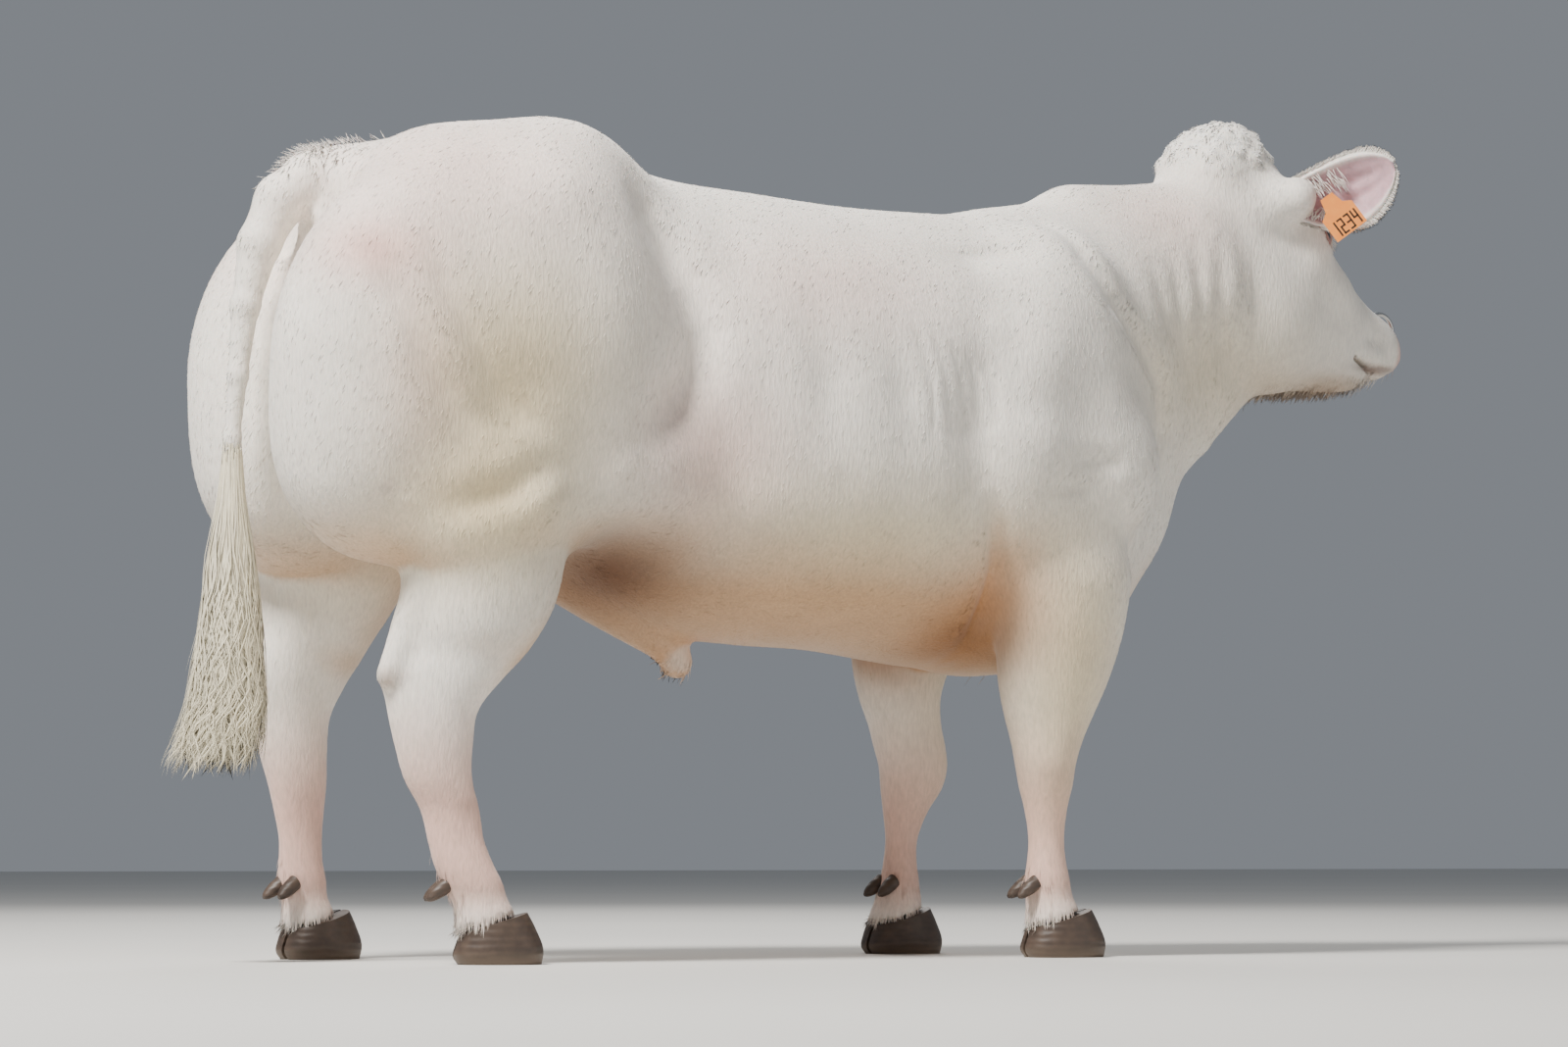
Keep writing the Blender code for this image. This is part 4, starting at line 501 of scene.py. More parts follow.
def legs(clay):
    near_hind = [
        (0.630, -0.535, -0.180, 0.060, 0.045),
        (0.560, -0.562, -0.196, 0.110, 0.070),
        (0.508, -0.572, -0.198, 0.112, 0.071),
        (0.467, -0.588, -0.198, 0.108, 0.064),
        (0.433, -0.603, -0.197, 0.099, 0.056),
        (0.398, -0.625, -0.196, 0.088, 0.050),
        (0.358, -0.639, -0.196, 0.069, 0.045),
        (0.304, -0.638, -0.196, 0.058, 0.042),
        (0.257, -0.631, -0.196, 0.051, 0.038),
        (0.215, -0.614, -0.197, 0.045, 0.032),
        (0.173, -0.605, -0.198, 0.043, 0.030),
        (0.140, -0.594, -0.199, 0.045, 0.035),
        (0.115, -0.582, -0.200, 0.046, 0.039),
        (0.090, -0.570, -0.200, 0.043, 0.039),
        (0.068, -0.560, -0.200, 0.047, 0.045),
        (0.050, -0.554, -0.200, 0.052, 0.050),
        (0.026, -0.548, -0.200, 0.052, 0.050)]
    far_hind = [
        (0.630, -0.600, 0.180, 0.060, 0.045),
        (0.560, -0.640, 0.196, 0.105, 0.070),
        (0.508, -0.657, 0.198, 0.102, 0.070),
        (0.467, -0.675, 0.198, 0.097, 0.062),
        (0.433, -0.690, 0.197, 0.093, 0.055),
        (0.398, -0.702, 0.196, 0.084, 0.049),
        (0.358, -0.708, 0.196, 0.068, 0.044),
        (0.304, -0.705, 0.196, 0.058, 0.041),
        (0.257, -0.698, 0.196, 0.050, 0.037),
        (0.215, -0.694, 0.198, 0.043, 0.031),
        (0.173, -0.691, 0.199, 0.037, 0.029),
        (0.140, -0.690, 0.200, 0.037, 0.033),
        (0.115, -0.688, 0.200, 0.039, 0.038),
        (0.090, -0.684, 0.200, 0.037, 0.038),
        (0.068, -0.678, 0.200, 0.042, 0.044),
        (0.050, -0.672, 0.200, 0.048, 0.049),
        (0.026, -0.668, 0.200, 0.048, 0.049)]
    near_front = [
        (0.660, 0.395, -0.165, 0.060, 0.045),
        (0.577, 0.380, -0.176, 0.105, 0.080),
        (0.510, 0.376, -0.176, 0.106, 0.078),
        (0.450, 0.370, -0.173, 0.098, 0.069),
        (0.402, 0.363, -0.172, 0.087, 0.061),
        (0.361, 0.358, -0.170, 0.073, 0.055),
        (0.320, 0.354, -0.170, 0.058, 0.050),
        (0.290, 0.352, -0.170, 0.050, 0.048),
        (0.255, 0.352, -0.170, 0.044, 0.043),
        (0.220, 0.352, -0.170, 0.036, 0.033),
        (0.170, 0.353, -0.170, 0.031, 0.028),
        (0.140, 0.353, -0.170, 0.033, 0.033),
        (0.115, 0.354, -0.170, 0.037, 0.038),
        (0.090, 0.358, -0.170, 0.038, 0.039),
        (0.068, 0.364, -0.170, 0.044, 0.045),
        (0.050, 0.370, -0.170, 0.050, 0.050),
        (0.026, 0.374, -0.170, 0.050, 0.050)]
    far_front = [
        (0.660, 0.350, 0.165, 0.060, 0.045),
        (0.577, 0.320, 0.174, 0.105, 0.080),
        (0.510, 0.300, 0.170, 0.100, 0.078),
        (0.450, 0.283, 0.162, 0.086, 0.069),
        (0.395, 0.277, 0.157, 0.070, 0.060),
        (0.350, 0.284, 0.153, 0.063, 0.053),
        (0.318, 0.291, 0.151, 0.063, 0.050),
        (0.290, 0.296, 0.150, 0.060, 0.049),
        (0.255, 0.293, 0.150, 0.054, 0.045),
        (0.220, 0.283, 0.150, 0.040, 0.036),
        (0.170, 0.275, 0.150, 0.028, 0.028),
        (0.140, 0.273, 0.150, 0.029, 0.031),
        (0.115, 0.272, 0.150, 0.032, 0.036),
        (0.090, 0.270, 0.150, 0.038, 0.038),
        (0.068, 0.268, 0.150, 0.043, 0.045),
        (0.050, 0.268, 0.150, 0.050, 0.050),
        (0.026, 0.270, 0.150, 0.050, 0.050)]
    clay.add(Leg(near_hind, -16), 0.02)
    clay.add(Leg(far_hind, 14), 0.02)
    clay.add(Leg(near_front, -6), 0.02)
    clay.add(Leg(far_front, 6), 0.02)
    # Points of the hocks and the cords above them.
    clay.add(Taper((-0.706, -0.196, 0.402), (-0.650, -0.196, 0.545), 0.020, 0.028), 0.02)
    clay.add(Taper((-0.778, 0.190, 0.402), (-0.735, 0.196, 0.545), 0.020, 0.028), 0.02)


def shoulders(clay):
    for side, dx in ((-1, 0.0), (1, -0.03)):
        clay.add(Ball((0.33 + dx, side * 0.160, 0.88), (0.14, 0.105, 0.225), turned(0, 20, 0)), 0.06)
        clay.add(Ball((0.43 + dx, side * 0.168, 0.74), (0.115, 0.095, 0.125), turned(0, -10, 0)), 0.05)
        clay.add(Ball((0.29 + dx, side * 0.180, 0.70), (0.13, 0.092, 0.12), turned(0, 30, 0)), 0.05)
        clay.add(Ball((0.375 + dx, side * 0.178, 0.58), (0.108, 0.076, 0.12), turned(0, 0, 0)), 0.04)


# The head in side view: forward and height, from the back of the poll over the face and round the jaw.
PROFILE = [(-0.012, 1.190), (-0.020, 1.228), (-0.008, 1.263), (0.030, 1.296), (0.076, 1.311),
           (0.110, 1.300), (0.142, 1.265),
           (0.184, 1.222), (0.234, 1.175), (0.274, 1.132), (0.312, 1.092), (0.362, 1.056),
           (0.408, 1.026), (0.438, 0.998),
           (0.449, 0.968), (0.444, 0.942), (0.418, 0.927), (0.383, 0.920), (0.352, 0.910),
           (0.310, 0.902), (0.250, 0.896),
           (0.190, 0.892), (0.140, 0.896), (0.102, 0.930), (0.070, 1.000), (0.020, 1.090)]
# Clumps of the poll, their radius, and the turn between one and the next.
POLL_CLUMPS = 46
CLUMP = 0.0165
GOLDEN = 2.39996
# Half width and edge radius at places in it, and how far each place counts.
WIDTHS = [(0.030, 1.270, 0.080, 0.070, 0.05), (-0.02, 1.180, 0.090, 0.08, 0.05),
          (0.110, 1.210, 0.092, 0.07, 0.05),
          (0.200, 1.150, 0.103, 0.055, 0.04), (0.130, 1.080, 0.104, 0.07, 0.05),
          (0.145, 0.990, 0.107, 0.07, 0.05),
          (0.135, 0.910, 0.084, 0.055, 0.04), (0.260, 1.110, 0.074, 0.050, 0.03),
          (0.260, 1.020, 0.084, 0.050, 0.04),
          (0.250, 0.930, 0.066, 0.045, 0.04), (0.340, 1.030, 0.056, 0.042, 0.03),
          (0.335, 0.940, 0.055, 0.035, 0.03),
          (0.415, 0.975, 0.062, 0.045, 0.03), (0.380, 0.922, 0.044, 0.030, 0.02)]


def head(clay):
    def face(yaw, pitch):
        return turned(TURN + yaw, pitch, 0)

    skull = Pillow(PROFILE, WIDTHS, 2.3, HEAD, TURN)
    clay.add(skull, 0.04)
    # Curly hair of the poll, as rounded clumps set close.
    middle = hp(0.065, 0, 1.225)
    for k in range(POLL_CLUMPS):
        rise = 1 - 0.80 * (k + 0.5) / POLL_CLUMPS
        level = math.sqrt(1 - rise * rise)
        way = np.array([level * math.cos(GOLDEN * k), level * math.sin(GOLDEN * k), rise])
        near, far = 0.0, 0.16
        for _ in range(12):
            half = (near + far) / 2
            here = (middle + way * half).reshape(3, 1, 1, 1)
            near, far = (half, far) if skull.distance(*here).item() < 0 else (near, half)
        clay.add(Ball(middle + way * (near - 0.012), (CLUMP, CLUMP, CLUMP)), 0.006)
    # Muzzle, and the chin set back under it.
    clay.add(Ball(hp(0.396, 0, 0.974), (0.050, 0.069, 0.040), face(0, 62)), 0.02)
    for v in (-1, 1):
        # Orbit, the bar below it, cheek muscle, jaw edge, and the side of the upper lip.
        clay.add(Ball(hp(0.184, v * 0.084, 1.142), (0.048, 0.029, 0.036), face(v * 14, 40)), 0.03)
        clay.add(Taper(hp(0.200, v * 0.082, 1.088), hp(0.310, v * 0.052, 1.012), 0.022, 0.018), 0.05)
        clay.add(Ball(hp(0.135, v * 0.062, 1.000), (0.085, 0.044, 0.100), face(0, 18)), 0.05)
        clay.add(Ball(hp(0.265, v * 0.050, 0.965), (0.052, 0.026, 0.034), face(v * -6, 14)), 0.045)
        clay.add(Taper(hp(0.150, v * 0.052, 0.926), hp(0.330, v * 0.026, 0.924), 0.034, 0.022), 0.03)
        clay.add(Ball(hp(0.372, v * 0.039, 0.954), (0.050, 0.030, 0.024), face(0, 12)), 0.015)
        # Fleshy root of the ear.
        root, axis, _ = ear_place(v)
        clay.add(Taper(hp(0.090, v * 0.052, 1.165), root + axis * 0.030, 0.046, 0.033), 0.03)
        # Lids, open in an almond over the eye.
        centre, axes = eye_place(v)
        clay.add(Ball(centre, (0.030, 0.023, 0.025), axes), 0.010)
        clay.cut(Ball(centre + axes[2] * 0.016, (0.0200, 0.0115, 0.021), axes), 0.004)
        # Nostril: a comma, wide and open in front, drawn out to the side.
        hole, way = hp(0.447, v * 0.034, 0.985), face(v * 38, 30)
        clay.cut(Ball(hole, (0.020, 0.011, 0.015), way), 0.006)
        clay.cut(Taper(hole + way[1] * v * 0.004, hp(0.428, v * 0.056, 0.996), 0.008, 0.004), 0.005)
    # Line of the mouth, from the lips back to its corners.
    line = [hp(u, 0, z) for u, z in ((0.425, 0.926), (0.395, 0.928), (0.355, 0.936), (0.312, 0.949))]
    for p, q in zip(line[:-1], line[1:]):
        clay.cut(Slot(p, q, 0.0035, TURN), 0.005)


class Slot:
    """A slit across the head, following a line from a to b in side view, thick either side of it."""

    def __init__(self, a, b, thick, yaw):
        self.a, self.b, self.thick, self.turn = np.array(a, float), np.array(b,
                                                                             float), thick, np.radians(yaw)
        self.low = np.minimum(self.a, self.b) - 0.09
        self.high = np.maximum(self.a, self.b) + 0.09

    def distance(self, x, y, z):
        c, s = np.cos(self.turn), np.sin(self.turn)
        p, q = (x - self.a[0]) * c + (y - self.a[1]) * s, z - self.a[2]
        side = np.abs(-(x - self.a[0]) * s + (y - self.a[1]) * c)
        d = self.b - self.a
        run, rise = d[0] * c + d[1] * s, d[2]
        t = np.clip((p * run + q * rise) / (run * run + rise * rise), 0, 1)
        away = np.hypot(p - run * t, q - rise * t) - self.thick
        return np.maximum(away, 0.030 - side)


def sheath(clay):
    clay.add(Taper((-0.46, 0, 0.622), (-0.205, 0, 0.470), 0.050, 0.032), 0.04)
    clay.add(Ball((-0.178, 0, 0.438), (0.028, 0.023, 0.030), turned(0, -35, 0)), 0.02)
    clay.add(Ball((-0.50, 0, 0.60), (0.070, 0.062, 0.085)), 0.03)


def relief(clay):
    """Muscle borders, creases and folds, drawn in side view on both sides."""
    # Rear: front border of the thigh, the groove down it, the crease above the gaskin, the hip.
    clay.groove([(-0.415, 1.185), (-0.360, 1.120), (-0.315, 1.045), (-0.262, 0.970), (-0.245, 0.900),
                 (-0.262, 0.840),
                 (-0.300, 0.785), (-0.345, 0.735), (-0.385, 0.690)], 0.036, 0.020)
    clay.groove([(-0.765, 1.010), (-0.735, 0.930), (-0.690, 0.835), (-0.640, 0.765),
                 (-0.595, 0.730)], 0.022, 0.010)
    clay.groove([(-0.770, 0.960), (-0.765, 0.860), (-0.750, 0.780)], 0.020, 0.003)
    clay.groove([(-0.705, 0.640), (-0.640, 0.635), (-0.565, 0.655), (-0.500, 0.690),
                 (-0.440, 0.675)], 0.026, 0.012)
    clay.groove([(-0.700, 1.020), (-0.655, 0.920), (-0.600, 0.825), (-0.545, 0.760),
                 (-0.490, 0.715)], 0.020, 0.009)
    clay.swell((-0.520, 0.645), (0.045, 0.045), 0.010)
    clay.swell((-0.440, 0.700), (0.050, 0.060), -0.008)
    clay.swell((-0.480, 1.090), (0.070, 0.060), 0.008)
    clay.swell((-0.470, 0.960), (0.050, 0.110), -0.006, 20)
    # Shoulder: its front border, upper edge, two creases of the upper arm, and the hollow behind.
    clay.groove([(0.360, 1.120), (0.400, 1.050), (0.445, 0.985), (0.520, 0.930), (0.575, 0.870),
                 (0.590, 0.800),
                 (0.580, 0.720)], 0.020, 0.018)
    clay.groove([(0.130, 1.050), (0.210, 1.035), (0.300, 1.050), (0.340, 1.075)], 0.018, 0.009)
    clay.groove([(0.320, 0.722), (0.368, 0.735), (0.420, 0.735), (0.460, 0.752)], 0.016, 0.008)
    clay.groove([(0.270, 0.668), (0.320, 0.690), (0.380, 0.700), (0.440, 0.715)], 0.018, 0.007)
    clay.groove([(0.225, 0.930), (0.190, 0.850), (0.180, 0.770), (0.200, 0.690),
                 (0.235, 0.630)], 0.040, 0.018)
    clay.groove([(0.205, 0.690), (0.232, 0.630), (0.245, 0.570), (0.245, 0.500),
                 (0.243, 0.440)], 0.017, 0.022)
    clay.swell((0.300, 0.900), (0.060, 0.130), 0.008, -15)
    clay.swell((0.430, 0.860), (0.060, 0.070), 0.008)
    clay.swell((0.290, 0.760), (0.060, 0.050), 0.008)
    # Side: soft ribs and the wrinkles behind the shoulder.
    for k, x in enumerate((0.090, 0.118, 0.146, 0.172, 0.198)):
        clay.groove([(x - 0.01, 0.930 - 0.01 * k), (x + 0.012, 0.850),
                     (x + 0.022, 0.740 + 0.008 * k)], 0.008, 0.0034)
    clay.groove([(0.020, 0.940), (0.060, 0.820), (0.080, 0.700)], 0.030, 0.008)
    clay.groove([(-0.100, 0.980), (-0.060, 0.840), (-0.060, 0.700)], 0.035, 0.008)
    clay.swell((-0.190, 1.010), (0.050, 0.080), -0.006)
    clay.swell((-0.150, 0.640), (0.090, 0.060), 0.008, -20)
    # Neck: upright folds, and the crease behind the jaw.
    clay.groove([(0.610, 1.100), (0.620, 0.970), (0.665, 0.860)], 0.020, 0.0085)
    clay.groove([(0.655, 1.120), (0.665, 0.980), (0.700, 0.850)], 0.018, 0.0070)
    clay.groove([(0.700, 1.120), (0.706, 0.990), (0.735, 0.870)], 0.018, 0.0070)
    clay.groove([(0.560, 1.080), (0.585, 0.980), (0.630, 0.890)], 0.018, 0.0070)


def body(clay):
    trunk(clay)
    hindquarters(clay)
    shoulders(clay)
    legs(clay)
    sheath(clay)
    relief(clay)
    head(clay)
    return clay


TAIL = [(-0.700, 0.0, 1.125, 0.046), (-0.755, 0.0, 1.118, 0.044), (-0.800, 0.0, 1.085, 0.040),
        (-0.832, 0.0, 1.020, 0.034),
        (-0.852, 0.0, 0.930, 0.024), (-0.862, 0.0, 0.830, 0.018), (-0.868, 0.004, 0.740, 0.0155),
        (-0.868, 0.004, 0.690, 0.0150)]


def frame_of(forward, towards):
    """Three square directions: forward, then the part of towards that is square to it, then the third."""
    f = np.array(forward, float) / np.linalg.norm(forward)
    t = np.array(towards, float)
    t = t - f * (t @ f)
    t /= np.linalg.norm(t)
    return f, t, np.cross(f, t)


CORONET = 0.0585
CORONET_SLOPE = 0.30
# A claw's back, front and half width, at its sole, near it, half way up, and under the coronet.
CLAW_WALLS = ((-0.050, -0.056, -0.053, -0.046), (0.066, 0.069, 0.058, 0.046), (0.043, 0.048, 0.047, 0.044))
EAR_LENGTH = 0.190
EAR_SAG = 0.016
TAG_LEVEL = 0.020
TAG_THICK = 0.0018
RING_CENTRE = hp(0.440, 0, 1.006)
RING_MAJOR = 0.0285
RING_MINOR = 0.0035
RING_STEPS = 96
RING_SIDES = 20


def feet():
    """Each foot: name, centre x and y at the ground, its turn outwards, and the x of the fetlock's rear."""
    return [("hind_right", -0.548, -0.200, -16, -0.078), ("hind_left", -0.666, 0.200, 14, -0.060),
            ("fore_right", 0.374, -0.170, -6, -0.056), ("fore_left", 0.270, 0.150, 6, -0.031)]


def claw_rings(x, y, yaw, side, count, rows):
    """One half of a hoof: flat sole, upright inner wall, rounded outer wall, sloping front."""
    c, s = np.cos(np.radians(yaw)), np.sin(np.radians(yaw))
    a = np.pi * np.arange(count) / (count - 1)
    rings = []
    for t in np.linspace(0, 1, rows):
        back, front, wide = (spline((0, 0.2, 0.65, 1), v, t) for v in CLAW_WALLS)
        u = (back + front) / 2 + (front - back) / 2 * np.cos(a)
        v = (0.0035 + wide * np.sin(a) ** 0.8) * side
        z = t * (CORONET + CORONET_SLOPE * u - GAP)
        rings.append(np.stack([x + u * c - v * s, y + u * s + v * c, z], 1))
    return rings


def dewclaw_rings(x, y, yaw, heel, side, count, rows):
    """A small horn behind the fetlock."""
    c, s = np.cos(np.radians(yaw)), np.sin(np.radians(yaw))
    a = 2 * np.pi * np.arange(count) / count
    rings = []
    for t in np.linspace(0, 1, rows):
        r = 0.013 * np.sqrt(1 - 0.94 * t**2.2)
        u, v, z = heel + 0.012 - 0.030 * t, side * (0.017 + 0.003 * t), 0.112 - 0.022 * t
        uu, vv, zz = u - r * np.cos(a) * 0.37, v + r * np.sin(a), z + r * np.cos(a) * 0.78
        rings.append(np.stack([x + uu * c - vv * s, y + uu * s + vv * c, zz], 1))
    return rings


EAR = [(-0.10, 0.022, 0.018, 0.034), (0.06, 0.027, 0.020, 0.036), (0.18, 0.036, 0.024, 0.030),
       (0.28, 0.044, 0.027, 0.012),
       (0.42, 0.052, 0.027, 0.005), (0.60, 0.056, 0.025, 0.004), (0.76, 0.050, 0.020, 0.004),
       (0.90, 0.034, 0.012, 0.0035),
       (0.97, 0.020, 0.006, 0.003), (1.0, 0.008, 0.002, 0.002)]


def ear_frame(side):
    """The ear's root and its directions: along it, out of its hollow, and down across it."""
    root, axis, towards = ear_place(side)
    f, n, b = frame_of(axis, towards)
    return root, f, n, (-b if b[2] > 0 else b)


def ear_spine(side, share):
    """The ear's middle line at shares of its length: bowed back, and sagging."""
    root, f, n, down = ear_frame(side)
    s = np.asarray(share)[..., None]
    arch = np.sin(np.pi * s)
    return root + f * (EAR_LENGTH * s) - n * (0.012 * arch - 0.010 * s * s) + down * (EAR_SAG * arch)


def tag_place(side):
    """The pin of an ear tag, and the tag's outward, lengthwise and downward directions."""
    root, f, n, down = ear_frame(side)
    return root + f * 0.080 + down * 0.026, n, f * 0.94 - down * 0.34, down * 0.94 + f * 0.34


# The brush of the tail: height, middle and half width.
BRUSH = [(0.740, -0.868, 0.016), (0.657, -0.868, 0.024), (0.583, -0.868, 0.037), (0.508, -0.866, 0.046),
         (0.435, -0.867, 0.053), (0.360, -0.870, 0.061), (0.285, -0.886, 0.074), (0.255, -0.892, 0.076)]


def brush_at(z):
    """Middle and half width of the brush at heights z."""
    level, middle, half = np.array(BRUSH)[::-1].T
    return np.interp(z, level, middle), np.interp(z, level, half)


def linear(code):
    """An sRGB hex colour as linear light."""
    parts = np.array([int(code[i : i + 2], 16) for i in (0, 2, 4)]) / 255
    return np.where(parts <= 0.04045, parts / 12.92, ((parts + 0.055) / 1.055) ** 2.4)


def rgba(code):
    return (*linear(code), 1.0)


def add(tree, kind, inputs=(), **settings):
    """Adds a node with its settings, and its inputs as values or as other nodes' outputs."""
    made = tree.nodes.new("ShaderNode" + kind)
    for name, value in settings.items():
        setattr(made, name, value)
    for name, value in dict(inputs).items():
        if isinstance(value, bpy.types.NodeSocket):
            tree.links.new(value, made.inputs[name])
        else:
            made.inputs[name].default_value = value
    return made


def surface(name):
    """A new material: itself, its tree, its shader."""
    made = bpy.data.materials.new(name)
    made.use_nodes = True
    return made, made.node_tree, made.node_tree.nodes["Principled BSDF"]


def on_body(name, data, material):
    """A piece from mesh data, riding on the body."""
    data.materials.append(material)
    item = bpy.data.objects.new(name, data)
    bpy.context.scene.collection.objects.link(item)
    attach(item, "root")
    return item


def bring(name, points, faces, material):
    """A smooth piece made from arrays."""
    data = bpy.data.meshes.new(name)
    data.vertices.add(len(points))
    data.vertices.foreach_set("co", np.asarray(points + shift, np.float32).ravel())
    data.loops.add(faces.size)
    data.loops.foreach_set("vertex_index", faces.astype(np.int32).ravel())
    data.polygons.add(len(faces))
    data.polygons.foreach_set("loop_start", np.arange(0, faces.size, faces.shape[1], dtype=np.int32))
    data.update(calc_edges=True)
    data.polygons.foreach_set("use_smooth", np.full(len(faces), True))
    return on_body(name, data, material)


def grid_quads(rows, around, closed=False):
    """Four-sided faces over rows of places, each row a ring, the last row joined to the first if closed."""
    i, j = np.meshgrid(np.arange(rows if closed else rows - 1), np.arange(around), indexing="ij")
    here, beside = i * around + j, i * around + (j + 1) % around
    rise = (i + 1) % rows * around - i * around
    return np.stack([here, beside, beside + rise, here + rise], -1).reshape(-1, 4)


def outward(item):
    """Turns the faces of a closed piece outwards."""
    edit = bmesh.new()
    edit.from_mesh(item.data)
    bmesh.ops.recalc_face_normals(edit, faces=edit.faces)
    edit.to_mesh(item.data)
    edit.free()


def tint(item, colours):
    """Stores a colour at each point."""
    layer = item.data.color_attributes.new("hide", "FLOAT_COLOR", "POINT")
    values = np.column_stack([colours, np.ones(len(colours))]).astype(np.float32)
    layer.data.foreach_set("color", values.ravel())


def blob(p, centre, radii):
    """Strength of a soft spot at each point, 1 in its middle."""
    return np.exp(-(((p - centre) / radii) ** 2).sum(1))


def ramp(v, low, high):
    t = np.clip((v - low) / (high - low), 0, 1)
    return t * t * (3 - 2 * t)


def in_head(p):
    """The same points in the head's own directions."""
    q = p - HEAD
    along, left = q[:, 0] * HEAD_COS + q[:, 1] * HEAD_SIN, -q[:, 0] * HEAD_SIN + q[:, 1] * HEAD_COS
    return np.column_stack([along, left, q[:, 2]])


def fold(p, side):
    """The points folded over onto one side, 1 left or -1 right."""
    return np.column_stack([p[:, 0], side * np.abs(p[:, 1]), p[:, 2]])


def patches(p, rows):
    """Soft spots added up, each by its strength, its middle and its radii."""
    return sum(share * blob(p, centre, radii) for share, centre, radii in rows)


# Where pink skin, yellow stains and tan show, the tan in the armpit partly painted shade: strength, middle
# and radii, given on the right side.
PINK = [(0.80, (-0.765, -0.25, 0.985), (0.07, 0.12, 0.050)), (0.50, (-0.62, -0.20, 1.10), (0.20, 0.20, 0.14)),
        (0.60, (-0.24, -0.25, 0.72), (0.12, 0.20, 0.12)), (0.40, (0.62, -0.10, 1.14), (0.12, 0.20, 0.08)),
        (0.40, (-0.05, -0.25, 0.98), (0.20, 0.20, 0.09)), (0.45, (-0.69, -0.29, 0.82), (0.07, 0.10, 0.16)),
        (0.35, (0.95, -0.05, 1.17), (0.08, 0.12, 0.06))]
YELLOW = [(0.70, (-0.56, -0.25, 0.83), (0.15, 0.20, 0.15)),
          (0.65, (-0.60, -0.25, 0.62), (0.15, 0.20, 0.11)),
          (0.60, (0.36, -0.25, 0.42), (0.10, 0.20, 0.20)), (0.55, (0.02, -0.25, 0.60), (0.28, 0.20, 0.10)),
          (0.40, (0.70, -0.10, 0.90), (0.20, 0.20, 0.12))]
TAN_AND_SHADE = [(0.80, (0.255, -0.17, 0.53), (0.085, 0.12, 0.10)), (0.6, (-0.16, 0.0, 0.45), (0.06, 0.05, 0.05))]
# Calluses of the hock, cannon and knee: middle, size and strength.
CALLUSES = [((-0.712, -0.215, 0.398), 0.016, 0.5), ((-0.600, -0.235, 0.22), 0.012, 0.35),
            ((0.34, -0.21, 0.27), 0.018, 0.25)]


def coat_colour_and_shade(p, n):
    """The coat's colour at each point: cream white, pink where the skin shows, stains, bare skin, and painted
    shade under the belly and jaw, in the flank's hollow and armpit, in the nostrils and along the mouth.
    """
    q, hm = fold(p, -1), fold(in_head(p), 1)
    colour = np.tile(linear("F4EEE4"), (len(p), 1))

    def lay(code, strength):
        w = np.clip(strength, 0, 1)[:, None]
        colour[:] = colour * (1 - w) + linear(code) * w

    lay("E6BDB2", patches(q, PINK))
    lay("DA9E8A", 0.70 * ramp(-q[:, 2], -0.42, -0.20) * ramp(q[:, 2], 0.03, 0.12))
    hind = ramp(-q[:, 2], -0.70, -0.30) * ramp(-p[:, 0], 0.80, 0.86)
    lay("DCC387", patches(q, YELLOW) + 0.35 * hind)
    # Brown on the faces that turn downwards along the belly and brisket: partly a stain, partly painted shade
    # with a painted warm reflection from the ground.
    under = ramp(-n[:, 2], 0.15, 0.75) * ramp(-q[:, 2], -0.70, -0.52) * ramp(q[:, 2], 0.36, 0.44)
    lay("B8864E", 0.80 * under)
    # Tan stains at the sheath and in the armpit, the armpit's tan partly painted shade.
    lay("C48A58", patches(q, TAN_AND_SHADE))
    # Painted shade under the jaw, on the faces that turn downwards.
    lay("8F6430", 0.85 * ramp(-n[:, 2], 0.0, 0.7) * blob(hm, (0.26, 0.0, 0.89), (0.20, 0.12, 0.05)))
    # Painted shade in the hollow under the fold of the flank.
    lay("5A3310", 0.98 * np.sqrt(blob(q, (-0.350, -0.14, 0.545), (0.090, 0.120, 0.062))))
    # Painted shade in the armpit behind the elbow.
    lay("8A5A2C", 0.85 * blob(q, (0.225, -0.13, 0.470), (0.085, 0.110, 0.060)))
    for spot, size, share in CALLUSES:
        lay("8C6A55", share * blob(q, spot, (size * 1.4, 0.05, size)))
    lay("A88B8E", 0.8 * blob(p, (-0.735, -0.29, 0.655), (0.010, 0.03, 0.008)))
    # Bare skin: muzzle, lips, lids and nostrils, with painted shade along the mouth's line and in the
    # nostrils.
    lay("DFA193", 0.90 * ramp(hm[:, 0], 0.405, 0.432) * ramp(hm[:, 2], 0.925, 0.945))
    # Painted shade along the line of the mouth, between the lips.
    lay("6E4634", 0.9 * blob(hm, (0.372, 0.05, 0.934), (0.060, 0.045, 0.006)))
    # Painted shade in the nostril's opening.
    lay("7A4A48", blob(hm, (0.438, 0.040, 0.988), (0.016, 0.014, 0.010)))
    for side in (-1, 1):
        centre, axes = eye_place(side)
        lay("C79A92", 0.85 * blob(p, centre + axes[2] * 0.018, (0.022, 0.022, 0.018)))
    return colour


def bareness(p):
    """1 where the skin has no hair."""
    hm = fold(in_head(p), 1)
    bare = ramp(hm[:, 0], 0.415, 0.432) * ramp(hm[:, 2], 0.930, 0.950)
    bare = np.maximum(bare, blob(hm, (0.372, 0.05, 0.934), (0.060, 0.040, 0.006)))
    for side in (-1, 1):
        centre, axes = eye_place(side)
        bare = np.maximum(bare, 1.2 * blob(p, centre + axes[2] * 0.016, (0.020, 0.020, 0.016)))
    return np.clip(bare, 0, 1)


def join(tree, shader, colour, bump):
    """Links a shader to its colour and to its raised surface."""
    tree.links.new(colour, shader.inputs["Base Color"])
    tree.links.new(bump.outputs["Normal"], shader.inputs["Normal"])


